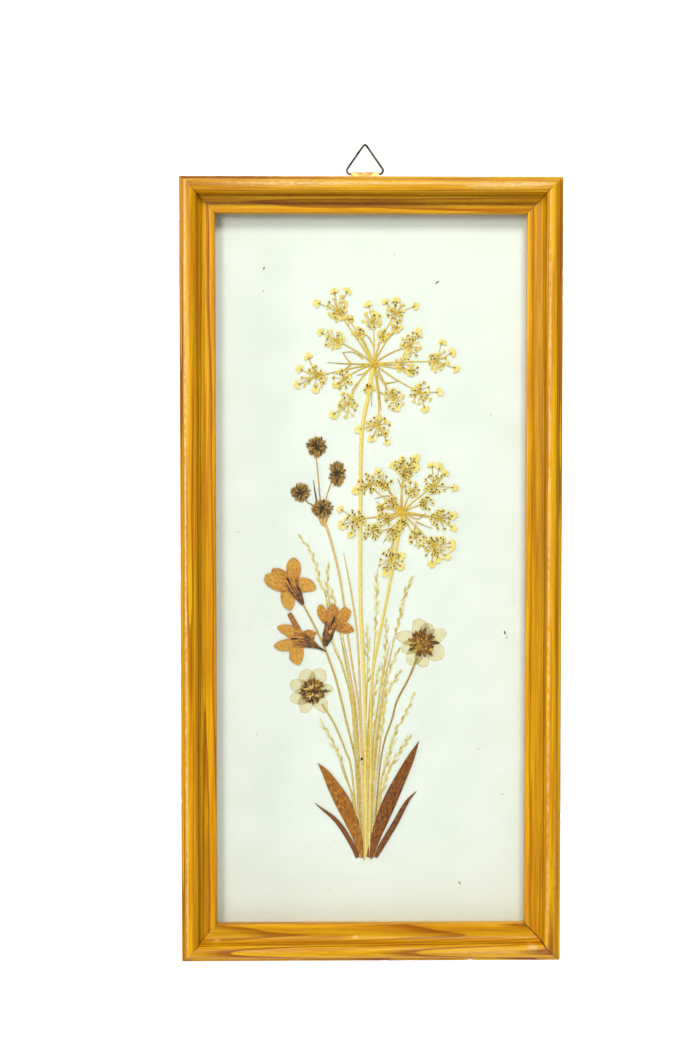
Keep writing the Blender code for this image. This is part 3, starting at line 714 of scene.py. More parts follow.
def drawn_steel():
    """Mild steel wire for brads: drawn through a die, so faintly streaked, with specks of rust."""
    material, tree, shader = new_material("drawn_mild_steel", 0.38, metallic=1.0)
    place = add(tree, "ShaderNodeTexCoord").outputs["Object"]
    rust = add(tree, "ShaderNodeTexNoise", {"Vector": place, "Scale": 800.0, "Detail": 4.0})
    colour = add(tree, "ShaderNodeValToRGB", {"Fac": rust.outputs["Fac"]},
                 stops=[(0.5, "#8d8f90"), (0.68, "#6f5a48")])
    tree.links.new(colour.outputs["Color"], shader.inputs["Base Color"])
    return material


dress("backing_board", brown_hardboard())
steel = drawn_steel()
for node in sorted(frame["nodes"]):
    if node.startswith("brad_"):
        dress(node, steel)

# %% [markdown]
# ## The hanger
# A small brass-plated sheet is nailed to the back of the upper rail. Its top is rolled round the
# base of a triangular ring, which is bent from wire a millimetre and a half thick and swings in the
# roll. The plating of the wire has gone grey-brown with age. A light picture needs no more. Sheet
# and wire are never perfect: the roll is a little wavy, the plating has dulled, and the wire is
# slightly flattened where pliers held it. The ring turns about the axis of the model's own joint.

# %% Metals of the hanger
def aged_metal(name, stops, roughness):
    """Metal that has dulled with age. The tint picks fresh metal at 0 and deep tarnish at 1."""
    material, tree, shader = new_material(name, roughness, metallic=1.0)
    tint = add(tree, "ShaderNodeAttribute", attribute_name="tint").outputs["Fac"]
    place = add(tree, "ShaderNodeTexCoord").outputs["Object"]
    patches = add(tree, "ShaderNodeTexNoise", {"Vector": place, "Scale": 420.0, "Detail": 5.0})
    aged = add(tree, "ShaderNodeMath", {0: patches.outputs["Fac"], 1: 1.3, 2: tint},
               operation="MULTIPLY_ADD")
    centred = add(tree, "ShaderNodeMath", {0: aged.outputs[0], 1: 0.5}, operation="SUBTRACT",
                  use_clamp=True)
    colour = add(tree, "ShaderNodeValToRGB", {"Fac": centred.outputs[0]}, stops=stops)
    tree.links.new(colour.outputs["Color"], shader.inputs["Base Color"])
    dull = add(tree, "ShaderNodeMapRange", {"Value": patches.outputs["Fac"], "From Min": 0.3,
                                            "From Max": 0.7, "To Min": roughness - 0.08,
                                            "To Max": roughness + 0.16})
    tree.links.new(dull.outputs[0], shader.inputs["Roughness"])
    bump = add(tree, "ShaderNodeBump", {"Height": patches.outputs["Fac"], "Strength": 0.3,
                                        "Distance": 0.0001})
    tree.links.new(bump.outputs["Normal"], shader.inputs["Normal"])
    return material


brass_plate = aged_metal("brass_plated_sheet", [
    (0.0, "#cfa668"), (0.35, "#b08443"), (0.7, "#845a22"), (1.0, "#3c2410")], 0.42)
plated_wire = aged_metal("tarnished_brass_plated_wire", [
    (0.0, "#98937f"), (0.3, "#6a6452"), (0.65, "#453f30"), (1.0, "#28231a")], 0.4)
print("metals:", brass_plate.name, "and", plated_wire.name)

# %% Bend the ring
RING_HALF_BASE, RING_HEIGHT = 11.4, 16.3
RING_BENDS = (1.9, 1.9, 1.2)
WIRE_SIDES = 16
BEND_STEPS, LEG_STEPS = 10, 12
LEG_SHORT = 4
FLATTENED = 0.06
ring_low, ring_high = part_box("hanger_ring")
WIRE_RADIUS = (ring_high.y - ring_low.y) / 2 / MM
AXIS = Vector(frame["joints"][0]["pos_m"])


def bent_triangle():
    """The ring's centre line in (x, z) from its axis, with a round bend at each corner."""
    corners = [Vector((-RING_HALF_BASE, 0)), Vector((RING_HALF_BASE, 0)), Vector((0, RING_HEIGHT))]
    line = []
    for k, (corner, bend) in enumerate(zip(corners, RING_BENDS)):
        before = (corners[k - 1] - corner).normalized()
        after = (corners[(k + 1) % 3] - corner).normalized()
        half = before.angle(after) / 2
        centre = corner + (before + after).normalized() * bend / math.sin(half)
        start = corner + before * bend / math.tan(half) - centre
        turns = [Matrix.Rotation((math.pi - 2 * half) * step / BEND_STEPS, 2)
                 for step in range(BEND_STEPS + 1)]
        line += [centre + turn @ start for turn in turns]
        leg_end = corners[(k + 1) % 3] + (corner - corners[(k + 1) % 3]).normalized() * LEG_SHORT
        line += [line[-1].lerp(leg_end, step / LEG_STEPS) for step in range(1, LEG_STEPS + 1)]
    return line


ring = Shape()
centre_line = bent_triangle()
for k, point in enumerate(centre_line):
    heading = (centre_line[(k + 1) % len(centre_line)] - centre_line[k - 1]).normalized()
    worn = noise.noise((point.x * 0.3, point.y * 0.3, 4.0))
    for side in range(WIRE_SIDES):
        turn = math.tau * side / WIRE_SIDES
        out = WIRE_RADIUS * math.cos(turn) * (1 - FLATTENED * max(0.0, worn))
        off = WIRE_RADIUS * math.sin(turn)
        ring.points.append(AXIS + Vector((point.x - heading.y * out, off, point.y + heading.x * out)) * MM)
        ring.flows.append((k * 0.5, side, 0.0))
        ring.tints.append(0.3 + 0.5 * worn)
ring.faces = tube_faces(len(centre_line), WIRE_SIDES, looped=True)
make_piece("hanger_ring_wire", ring, plated_wire, ["hanger_ring"], body="ring")

# %% Roll the sheet round it
SHEET = 0.25
ROLL_END = -140
ROLL_PLAY = 0.08
ON_RAIL = BACK_Y / MM + 0.05
FOOT_CORNER = 1.6
SHEET_COLUMNS = 30
plate_low, plate_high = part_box("hanger_plate")
plate_half = (plate_high.x - plate_low.x) / 2 / MM
roll_inner = WIRE_RADIUS + ROLL_PLAY
plate_foot = (plate_low.z - AXIS.z) / MM


def sheet_section(thickness):
    """The sheet's (depth, z) outline: flat on the rail, a crank, then round the wire."""
    outer = roll_inner + thickness
    upright = [plate_foot * (1 - k / 20) for k in range(20)]
    crank = [min(1.0, max(0.0, (-z - 0.4) / 3.0)) for z in upright]
    crank = [share * share * (3 - 2 * share) for share in crank]
    near = [(-outer + (ON_RAIL + outer) * share, z) for z, share in zip(upright, crank)]
    outline = near + arc((0, 0), (outer, outer), 180, ROLL_END, 22)
    outline += arc((0, 0), (roll_inner, roll_inner), ROLL_END, 180, 22)
    return outline + [(depth + thickness, z) for depth, z in near[::-1]]


plate = Shape()
for column in range(SHEET_COLUMNS + 1):
    share = -math.cos(math.pi * column / SHEET_COLUMNS)
    section = sheet_section(SHEET if abs(share) < 1 else SHEET * 0.6)
    for depth, z in section:
        above_foot = min(z - plate_foot, FOOT_CORNER)
        cut = FOOT_CORNER - math.sqrt(FOOT_CORNER ** 2 - (FOOT_CORNER - above_foot) ** 2)
        x = share * (plate_half - cut)
        rolled = z > -1.2
        wave = 0.05 * noise.noise((x * 0.5, z * 0.6, 8.0)) * rolled
        plate.points.append(AXIS + Vector((x, depth * (1 + wave), z * (1 + wave))) * MM)
        plate.flows.append((x, z, 0.0))
        plate.tints.append(0.15 + 0.5 * max(0.0, abs(share) - 0.9) * 5 + 0.3 * noise.noise((x, z, 2.0)))
plate.faces = tube_faces(SHEET_COLUMNS + 1, len(sheet_section(SHEET)))
make_piece("hanger_plate_brass", plate, brass_plate, ["hanger_plate"])

# %% Drive the nails
NAIL_SIDES = 24
HEAD_HEIGHT = 0.5
RIM = 0.3
for nail_name in ("plate_nail_left", "plate_nail_right"):
    low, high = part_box(nail_name)
    head = (high.x - low.x) / 2
    middle = (low + high) / 2
    top = (ON_RAIL + SHEET + HEAD_HEIGHT) * MM
    under = top - HEAD_HEIGHT * MM
    profile = [(low.y, head * 0.05), (low.y + 1.4 * MM, head * 0.42), (under, head * 0.42),
               (under, head * 0.9), (under + 0.08 * MM, head), (top - RIM * MM, head)]
    profile += [(top - RIM * MM * (1 - math.sin(rise)), head * math.cos(rise))
                for rise in (0.35, 0.7, 1.05, 1.35)]
    nail = Shape()
    for y, radius in profile:
        for side in range(NAIL_SIDES):
            turn = math.tau * side / NAIL_SIDES
            nail.points.append(Vector((middle.x + radius * math.cos(turn), y,
                                       middle.z + radius * math.sin(turn))))
            nail.flows.append((radius, turn, y))
            nail.tints.append(0.2 + 0.25 * noise.noise((math.cos(turn) * 2, y / MM, middle.x / MM)))
    nail.faces = tube_faces(len(profile), NAIL_SIDES)
    make_piece(f"{nail_name}_domed", nail, brass_plate, [nail_name])

# %% [markdown]
# ## Pressed plants
# Months under a weight turn every stem, petal and leaf to a thin flat strip. So one shape makes
# the whole bouquet: a blade, which is a line on the paper with a width at each place, slightly
# thicker in the middle than at its edges. A stem is a long narrow blade, a petal is a short wide
# one, and a flower head is many small ones. The blades are drawn here as the presser laid them,
# and the places are the driving dimensions of the bouquet, in millimetres from the middle.
# Where scales or florets spiral round a centre, each stands at the golden angle from the last,
# because that is how plants set them.

# %% The measures of pressing
LAYER = 0.13
FIRST_LAYER = 0.06
CLEAR_OF_PAPER = 0.02
THINNEST = 0.05
GOLDEN_ANGLE = 137.5
print(f"a new layer every {LAYER} mm, and scales {GOLDEN_ANGLE} degrees apart, as they grow")


# %% The blade
def smooth(rows, steps):
    """Rows of numbers on a smooth curve through the given rows, with steps between each two."""
    padded = [rows[0], *rows, rows[-1]]
    found = []
    for before, start, end, after in zip(padded, padded[1:], padded[2:], padded[3:]):
        for k in range(steps):
            t = k / steps
            found.append(tuple(
                0.5 * (2 * b + (c - a) * t + (2 * a - 5 * b + 4 * c - d) * t ** 2
                       + (3 * b - 3 * c + d - a) * t ** 3)
                for a, b, c, d in zip(before, start, end, after)))
    return found + [tuple(rows[-1])]


def value_at(values, share):
    """The value at a share of the way along a list, on a straight line between its neighbours."""
    place = share * (len(values) - 1)
    k = min(int(place), len(values) - 2)
    return values[k] + (values[k + 1] - values[k]) * (place - k)


def blade(shape, path, widths, height, tint, thick=0.15, columns=3, steps=4, waves=0.0):
    """A flat strip along a path of (x, z), with a width at each place.

    tint is a number, or a function of how far along (0 to 1) and across (-1 to 1) a point is.
    """
    line = smooth(path, steps)
    wide = [row[0] for row in smooth([(width,) for width in widths], 6)]
    key = len(shape.points) * 0.137 % 50
    points, tints, flows, length = [], [], [], 0.0
    for k, (x, z) in enumerate(line):
        before, after = line[max(k - 1, 0)], line[min(k + 1, len(line) - 1)]
        along = Vector((after[0] - before[0], after[1] - before[1])).normalized()
        share = k / (len(line) - 1)
        half = max(value_at(wide, share), THINNEST) / 2
        length += math.dist((x, z), line[max(k - 1, 0)])
        top = [-1 + 2 * c / (columns - 1) for c in range(columns)]
        for number, a in enumerate(top + top[-2:0:-1]):
            crown = 1 - a * a
            wave = waves * noise.noise((x * 0.35, z * 0.35, key))
            lift = crown * thick * (0.75 if number < columns else -0.25) + wave
            points.append(on_paper(x - along.y * a * half, z + along.x * a * half,
                                   max(height + lift, CLEAR_OF_PAPER)))
            tints.append(tint(share, a) if callable(tint) else tint)
            flows.append((length, a, key))
    shape.extend(points, tube_faces(len(line), 2 * columns - 2), tints, flows)


def level(layer):
    """The height over the paper of a layer of plants."""
    return FIRST_LAYER + LAYER * layer


def spoke(centre, angle, length):
    """The point at an angle in degrees and a distance from a centre."""
    return (centre[0] + length * math.cos(math.radians(angle)),
            centre[1] + length * math.sin(math.radians(angle)))


print(f"plants lie {level(0):.1f} to {level(4):.1f} mm over the paper")

# %% [markdown]
# ## Dried tissue
# Dried plants are matt, fibrous and uneven. They have lost their green, and what is left is the
# range from straw to gold, ochre and dark brown. One function makes them all: a tint picks the
# colour from a row of stops, soft noise makes it patchy, and fine ribs run along each blade as
# veins do. On the widest petals and leaves the ribs are drawn up to a millimetre apart, coarser
# than real veins, so that they can be seen. Noise keeps near its middle value, so it is multiplied
# by its spread before it is added to the tint, and its middle is taken off again.

# %% The tissue
PATCH_SPREAD = 6
RIB_SPREAD = 8


def dried_tissue(name, stops, ribs, patches=0.16, roughness=0.7, rib_strength=0.08):
    """Pressed and dried plant tissue. ribs is the number of veins across half a blade."""
    material, tree, shader = new_material(name, roughness)
    tint = add(tree, "ShaderNodeAttribute", attribute_name="tint").outputs["Fac"]
    flow = add(tree, "ShaderNodeAttribute", attribute_name="flow").outputs["Vector"]
    place = add(tree, "ShaderNodeTexCoord").outputs["Object"]
    cells = add(tree, "ShaderNodeTexNoise", {"Vector": place, "Scale": 700.0, "Detail": 3.0})
    along = add(tree, "ShaderNodeVectorMath", {0: flow, 1: (0.4, ribs, 1.0)}, operation="MULTIPLY")
    veins = add(tree, "ShaderNodeTexNoise", {"Vector": along.outputs[0], "Scale": 1.0, "Detail": 2.0})
    patchy = add(tree, "ShaderNodeMath", {0: cells.outputs["Fac"], 1: patches * PATCH_SPREAD,
                                          2: tint}, operation="MULTIPLY_ADD")
    veined = add(tree, "ShaderNodeMath", {0: veins.outputs["Fac"], 1: rib_strength * RIB_SPREAD,
                                          2: patchy.outputs[0]}, operation="MULTIPLY_ADD")
    middle = (patches * PATCH_SPREAD + rib_strength * RIB_SPREAD) / 2
    centred = add(tree, "ShaderNodeMath", {0: veined.outputs[0], 1: middle}, operation="SUBTRACT",
                  use_clamp=True)
    colour = add(tree, "ShaderNodeValToRGB", {"Fac": centred.outputs[0]}, stops=stops)
    tree.links.new(colour.outputs["Color"], shader.inputs["Base Color"])
    bump = add(tree, "ShaderNodeBump", {"Height": veined.outputs[0], "Strength": 0.5,
                                        "Distance": 0.0002})
    tree.links.new(bump.outputs["Normal"], shader.inputs["Normal"])
    shader.inputs["Specular IOR Level"].default_value = 0.1
    return material


print(f"patches spread {PATCH_SPREAD} times the noise, and ribs {RIB_SPREAD} times")

# %% Materials of the plants
umbel_gold = dried_tissue("dried_carrot_umbel", [
    (0.0, "#fbedb0"), (0.22, "#f3da74"), (0.42, "#e4bf44"), (0.6, "#c89a2c"), (0.78, "#8e6420"),
    (1.0, "#3a220c")], ribs=3.0, patches=0.07, rib_strength=0.05)
straw = dried_tissue("dried_grass_straw", [
    (0.0, "#f8efc2"), (0.3, "#ecd88c"), (0.65, "#d2b04a"), (1.0, "#96702a")], ribs=2.0, patches=0.12)
sedge_brown = dried_tissue("dried_sedge", [
    (0.0, "#ecd08c"), (0.3, "#cf9c48"), (0.6, "#80602c"), (1.0, "#1c150e")], ribs=2.0, patches=0.08)
petal_ochre = dried_tissue("dried_bellflower_petal", [
    (0.0, "#e0aa4c"), (0.3, "#d0923a"), (0.55, "#ae6c2a"), (0.8, "#634630"), (1.0, "#30201c")],
    ribs=4.0, patches=0.14, rib_strength=0.11)
head_brown = dried_tissue("dried_ray_flower", [
    (0.0, "#f0e9cd"), (0.14, "#ecdfae"), (0.3, "#dfb33c"), (0.5, "#a9742a"), (0.75, "#5e3c18"),
    (1.0, "#24160c")], ribs=4.0, patches=0.07)
leaf_brown = dried_tissue("dried_lance_leaf", [
    (0.0, "#cc9020"), (0.35, "#a8640c"), (0.65, "#864a10"), (1.0, "#4a2408")],
    ribs=5.0, patches=0.16, roughness=0.5, rib_strength=0.2)
tissues = [umbel_gold, straw, sedge_brown, petal_ochre, head_brown, leaf_brown]
print("tissues:", ", ".join(tissue.name for tissue in tissues))

# %% [markdown]
# ## Wild carrot
# Two flat flower heads of wild carrot are the centre of the bouquet. From the top of each stem
# some twenty rays go out, and each ends in a small head of its own, with a dozen or so finer rays
# and a floret on each. Florets at the rim have the large, lobed petals that draw insects. Thin
# forked bracts stand between the rays. Everything is fanned out flat by the press. So a head is
# a function of where its small heads lie, and the rest is a fixed rule with seeded chance.

# %% A floret and a rim floret
def floret(shape, centre, facing, size, height, ovary, chance):
    """A tiny flower seen from its side: a fan of petals over a seed that may show dark."""
    for turn in (-62, -20, 22, 60):
        angle = facing + turn + chance.uniform(-14, 14)
        reach = size * chance.uniform(0.65, 1.15)
        tint = chance.uniform(0.12, 0.42)
        blade(shape, [centre, spoke(centre, angle, reach / 2), spoke(centre, angle, reach)],
              [reach * 0.3, reach * 0.75, reach * 0.5], height + chance.uniform(0, 0.12), tint, steps=2)
    if chance.random() < ovary:
        seed = spoke(centre, facing + chance.uniform(-60, 60), size * 0.15)
        blade(shape, [spoke(seed, facing, -0.4), seed, spoke(seed, facing, 0.4)], [0.4, 0.95, 0.5],
              height + 0.15, chance.uniform(0.8, 1.0), thick=0.3, steps=2)


def rim_floret(shape, centre, start, height, chance):
    """A large flower at the rim: three wide, notched petals, and the ray that it stands on."""
    facing = math.degrees(math.atan2(centre[1] - start[1], centre[0] - start[0]))
    base = spoke(centre, facing, -1.7)
    blade(shape, [start, spoke(base, facing, -1.5), base], [0.4, 0.4, 0.6], height,
          lambda t, a: 0.42 + 0.25 * t)
    for turn in (-58, 0, 55):
        angle = facing + turn + chance.uniform(-12, 12)
        reach = chance.uniform(2.3, 3.3) * (1.1 if turn == 0 else 0.9)
        for lobe in (-17, 17):
            tip = spoke(base, angle + lobe, reach)
            blade(shape, [base, spoke(base, angle + lobe * 0.6, reach * 0.5), tip],
                  [0.3, reach * 0.5, reach * 0.6, reach * 0.22], height + 0.05,
                  lambda t, a, pale=chance.uniform(0.06, 0.22): pale + 0.35 * (1 - t) ** 3,
                  columns=5, steps=3, waves=0.08)
    blade(shape, [spoke(base, facing, -0.5), base, spoke(base, facing, 0.5)], [0.3, 0.75, 0.3],
          height + 0.15, chance.uniform(0.7, 1.0), thick=0.3, steps=2)


sample = Shape()
floret(sample, (0, 0), 90, 1.2, 0, 1.0, random.Random(1))
print(f"a floret has {len(sample.faces)} faces")

# %% A small head and a whole head
RAYS_PER_MM = 2.3


def umbellet(shape, centre, facing, radius, height, ovary, chance):
    """A small head: fine rays all round, each with a floret, longer on the outer side."""
    count = round(radius * RAYS_PER_MM)
    for k in range(count):
        turn = 360 * k / count + chance.uniform(-14, 14)
        outer = 0.8 + 0.2 * math.cos(math.radians(turn))
        reach = radius * outer * chance.uniform(0.55, 0.98)
        angle = facing + turn
        tip = spoke(centre, angle, reach)
        bend = spoke(centre, angle + chance.uniform(-14, 14), reach * 0.55)
        blade(shape, [centre, bend, tip], [0.4, 0.34, 0.3], height, chance.uniform(0.32, 0.48), steps=2)
        floret(shape, tip, angle, chance.uniform(0.95, 1.45), height + 0.1, ovary, chance)
        if chance.random() < 0.45:
            near = spoke(centre, angle + chance.uniform(-25, 25), reach * chance.uniform(0.45, 0.7))
            floret(shape, near, angle, 0.95, height + 0.15, ovary, chance)
    for turn in range(0, 360, 60):
        blade(shape, [centre, spoke(centre, turn, 0.5), spoke(centre, turn, 1.0)], [0.5, 0.6, 0.2],
              height + 0.1, 0.56, thick=0.3, steps=2)


def umbel(shape, hub, heads, rims, bracts, height, ovary, ray_width, chance):
    """A whole head. heads are (x, z, radius), rims are the places of the large outer florets, and
    ovary is how often a floret shows its dark seed."""
    for x, z, radius in heads:
        facing = math.degrees(math.atan2(z - hub[1], x - hub[0]))
        reach = math.dist(hub, (x, z))
        bend = spoke(spoke(hub, facing, reach / 2), facing + 90, reach * chance.uniform(-0.05, 0.05))
        blade(shape, [spoke(hub, facing, -0.8), bend, (x, z)],
              [ray_width * 1.25, ray_width * 0.8, ray_width * 0.7], height,
              lambda t, a, shade=chance.uniform(-0.05, 0.1): 0.3 + shade + 0.2 * abs(a) ** 2, thick=0.3)
        umbellet(shape, (x, z), facing, radius * 1.1, height + 0.1, ovary, chance)
    for rim in rims:
        nearest = min(heads, key=lambda head: math.dist(head[:2], rim))
        rim_floret(shape, rim, nearest[:2], height + 0.15, chance)
    for path in bracts:
        blade(shape, path, [0.75, 0.55, 0.3], height + 0.05, lambda t, a: 0.48 + 0.16 * t)
    for turn in range(0, 360, 24):
        reach = chance.uniform(1.6, 3.4)
        blade(shape, [hub, spoke(hub, turn, reach / 2), spoke(hub, turn, reach)], [1.3, 1.1, 0.3],
              height + 0.2, chance.uniform(0.42, 0.62), thick=0.3, steps=2)


print(f"a small head 7 mm in radius has {round(7 * RAYS_PER_MM)} fine rays")

# %% The tall wild carrot
tall = Shape()
tall_hub = (1.3, 110.2)
chance = random.Random(11)
blade(tall, [tall_hub, (-1.2, 93.8), (-4.3, 78), (-5.4, 59), (-5.5, 28), (-5.5, -15), (-4.8, -33),
             (-3.9, -51), (-3.2, -70), (-2.8, -110), (-2.4, -154.3)],
      [2.3, 2.1, 2.0, 2.0, 1.9, 1.9, 1.8, 1.6, 1.5, 1.4, 1.3], level(2),
      lambda t, a: 0.2 + 0.2 * abs(a) ** 2 + 0.06 * math.sin(a * 9), thick=0.5, columns=9, steps=12)
TALL_HEADS = [
    (-17.6, 138.1, 7.4), (1.0, 132.5, 5.4), (13.0, 137.0, 6.6), (-18.6, 122.5, 6.4), (20.9, 119.8, 7.0),
    (34.8, 111.4, 6.8), (-29.1, 103.4, 7.4), (-14.2, 102.3, 5.6), (-12.1, 89.0, 7.2), (4.2, 77.9, 7.4),
    (11.9, 92.8, 6.2), (25.8, 95.2, 6.4), (16.6, 109.8, 5.2), (-0.9, 97.5, 3.0), (-6.0, 126.2, 3.6),
    (6.6, 124.6, 3.4), (21.5, 106.5, 3.4), (13.5, 129.5, 3.6), (-11.5, 133.5, 2.2)]
TALL_RIMS = [
    (-19.5, 149.2), (-12.0, 149.5), (-29.0, 142.5), (-1.5, 142.2), (7.0, 143.5), (14.0, 144.5),
    (24.5, 141.0), (2.5, 137.0), (-27.5, 127.0), (25.5, 127.5), (38.0, 122.5), (44.0, 116.5),
    (46.0, 107.5), (-33.5, 114.5), (-38.5, 107.5), (-39.5, 98.5), (-29.5, 96.0), (-19.0, 98.3),
    (-21.0, 82.5), (-7.0, 75.0), (9.0, 67.8), (14.5, 86.0), (29.0, 85.5), (37.0, 95.0), (0.0, 69.8)]
TALL_BRACTS = [
    [(0, 110), (-12, 110.1), (-23.2, 110.8)], [(-10.2, 110), (-13, 113), (-14.6, 115.8)],
    [(-10.2, 109.8), (-12.8, 108), (-15, 106)], [(-4, 112.5), (-9, 116.2), (-15.2, 116)],
    [(4.0, 107), (6.8, 101), (8.6, 99.2)], [(7.4, 99.8), (11, 100.2), (14.8, 101)],
    [(3.4, 120), (5.8, 122.3), (9, 123.5)], [(9, 123.5), (11.8, 126.4), (12.2, 130)],
    [(1.6, 119), (-1, 124), (-4.2, 126.4)], [(0.6, 108), (0.4, 99), (0.4, 87.6)],
    [(3.2, 104), (4.6, 93), (5.4, 85)], [(-1, 107), (-8.6, 98), (-10.2, 94.4)],
    [(-2, 106.4), (-4.2, 104.8), (-7.6, 104)], [(4.5, 95.2), (7.4, 94.3), (8.2, 99)]]
umbel(tall, tall_hub, TALL_HEADS, TALL_RIMS, TALL_BRACTS, level(2) + 0.1, ovary=0.3, ray_width=0.8,
      chance=chance)
make_piece("wild_carrot_tall_pressed", tall, umbel_gold, ["wild_carrot_tall"])

# %% The short wild carrot
short = Shape()
short_hub = (16.4, 31.2)
chance = random.Random(23)
blade(short, [(16.2, 32), (15.7, 23), (13, 9.1), (10.9, -3.3), (8.2, -17.2), (4.4, -36), (1.2, -54),
              (0.2, -70), (0.0, -110), (-0.6, -154.3)],
      [1.9, 1.7, 1.5, 1.5, 1.4, 1.4, 1.3, 1.3, 1.2, 1.1], level(3),
      lambda t, a: 0.24 + 0.2 * abs(a) ** 2 + 0.06 * math.sin(a * 7), thick=0.45, columns=7, steps=12)
SHORT_HEADS = [
    (18.3, 54.5, 6.4), (33.8, 45.4, 6.8), (36.5, 27.7, 6.8), (33.3, 13.4, 7.0), (23.7, 18.0, 5.0),
    (10.9, 6.4, 7.0), (1.2, 21.4, 5.8), (-7.6, 27.5, 6.6), (-0.9, 45.8, 6.2), (7.2, 46.8, 4.8),
    (21.5, 42.7, 4.4), (7.4, 27.8, 4.2), (5.5, 33.7, 2.2), (11.6, 36.0, 3.6), (29.0, 35.8, 4.2),
    (12.2, 20.8, 4.2), (16.6, 25.6, 3.2), (18.4, 51.4, 3.6)]
SHORT_RIMS = [
    (16.0, 60.0), (24.5, 60.6), (11.0, 56.5), (32.5, 57.0), (40.5, 52.5), (45.2, 44.2), (3.3, 53.8),
    (-8.5, 42.6), (-17.0, 33.2), (-16.5, 24.0), (-10.8, 18.5), (45.0, 29.5), (44.5, 22.5),
    (44.0, 15.0), (43.8, 12.4), (40.8, 7.0), (32.6, 3.0), (36.0, 5.0), (17.0, 8.0), (17.0, 1.5),
    (8.0, -2.0), (24.8, 55.0), (37.0, 56.0)]
SHORT_BRACTS = [
    [(16.6, 33), (16.5, 43), (14.4, 49.4)], [(17.6, 33), (18.8, 36), (20.2, 39.6)],
    [(12, 36), (9.4, 40), (2, 38.4)], [(10.6, 34), (7, 34), (3, 37)], [(16, 32), (12.8, 38), (9.2, 42.5)],
    [(18, 31), (25, 27.6), (29.5, 31)], [(24, 26.4), (27.5, 24.6), (33, 22.6)],
    [(9.8, 19), (8.4, 17.4), (6.6, 15)], [(13, 24.4), (10, 22.6), (5.6, 21.2)],
    [(18, 29), (20, 24.4), (22.2, 20.2)], [(24, 25), (23.4, 22), (22.8, 20)],
    [(13.4, 22), (12, 16), (10.4, 11)], [(17, 30.6), (25, 29.6), (32, 28.2)]]
umbel(short, short_hub, SHORT_HEADS, SHORT_RIMS, SHORT_BRACTS, level(3) + 0.1, ovary=0.9,
      ray_width=0.85, chance=chance)
make_piece("wild_carrot_short_pressed", short, umbel_gold, ["wild_carrot_short"])

# %% [markdown]
# ## Sedge
# The dark burs on the left are the fruit heads of a sedge. Each is a ball of stiff pointed
# scales, dark brown to black with ochre edges. Pressed, the ball is a disc with spikes all round.
# The scales are laid from the rim to the middle, so that the inner ones lie over the outer ones.

# %% A bur
def bur(shape, centre, radii, height, count, chance):
    """A pressed head of pointed scales, laid from the rim inwards."""
    blade(shape, [(centre[0], centre[1] - 0.5 * radii[1]), (centre[0], centre[1] + 0.5 * radii[1])],
          [radii[0] * 0.6, radii[0] * 0.9, radii[0] * 0.6], height + 0.1, 0.95, thick=0.3, columns=5)
    for k in range(count):
        share = 1 - k / count
        angle = k * GOLDEN_ANGLE + chance.uniform(-12, 12)
        direction = Vector((radii[0] * math.cos(math.radians(angle)),
                            radii[1] * math.sin(math.radians(angle))))
        root = Vector(centre) + direction * math.sqrt(share) * 0.7
        turn = Matrix.Rotation(chance.uniform(-0.5, 0.5), 2)
        reach = turn @ direction.normalized() * chance.uniform(1.7, 2.7)
        bend = root + reach * 0.5
        dark = chance.uniform(0.75, 1.1)
        blade(shape, [tuple(root), tuple(bend), tuple(root + reach)], [0.7, 1.2, 0.95, 0.15],
              height + 0.3 * (1 - share) + chance.uniform(0, 0.1),
              lambda t, a, dark=dark: dark - 0.75 * t + 0.4 * abs(a) ** 2, thick=0.3, columns=5,
              steps=3)


BUR_SCALES = 95
print(f"a bur has {BUR_SCALES} scales")

# %% The sedge and its loose blade
sedge = Shape()
chance = random.Random(37)
for path, widths, tint in [
        ([(-24.9, 27.5), (-21.2, 15.5), (-17.1, -1), (-14.3, -18), (-12.4, -34), (-10, -50),
          (-6.6, -72.6), (-4.4, -110), (-3.2, -154.2)], [1.3, 1.2, 1.1, 1.1, 1.0, 1.0, 0.9, 0.9, 0.8], 0.08),
        ([(-25.6, 30), (-27, 38.5), (-28.2, 52), (-29.2, 62)], [0.9, 0.7, 0.6, 0.6], 0.3),
        ([(-25, 30), (-23.8, 38.5), (-22.8, 42), (-20.5, 48.5)], [0.8, 0.6, 0.5, 0.6], 0.3),
        ([(-27.5, 32), (-31.5, 35.3), (-33.5, 36.3), (-35.6, 39)], [0.8, 0.7, 0.7, 0.6], 0.45),
        ([(-28.4, 34.5), (-29.7, 42), (-30.6, 48.5)], [0.8, 0.7, 0.2], 0.75),
        ([(-25.4, 24), (-26.6, 27), (-27.8, 31)], [1.4, 1.8, 1.2], 0.2),
        ([(-24.4, 23.5), (-24.0, 26.5), (-22.8, 30.5)], [1.2, 1.5, 1.0], 0.25)]:
    blade(sedge, path, widths, level(2), lambda t, a, tint=tint: tint + 0.14 * abs(a), thick=0.4,
          columns=5, steps=8)
for centre, radii in [((-28.9, 66.0), (5.2, 5.6)), ((-17.9, 51.8), (4.0, 7.4)),
                      ((-37.4, 41.8), (4.6, 4.6)), ((-25.8, 32.9), (5.8, 4.8))]:
    bur(sedge, centre, radii, level(2) + 0.2, BUR_SCALES, chance)
make_piece("sedge_pressed", sedge, sedge_brown, ["sedge"])

loose = Shape()
blade(loose, [(-14.5, 9.2), (-10.5, -11), (-7.4, -33), (-6, -57.5), (-5.6, -72.6), (-4.0, -110),
              (-3.4, -154.2)], [0.3, 0.9, 1.0, 1.0, 1.0, 0.9, 0.8], level(3),
      lambda t, a: 0.06 + 0.16 * abs(a), thick=0.2, columns=5, steps=8)
make_piece("sedge_blade_pressed", loose, sedge_brown, ["sedge_blade"])

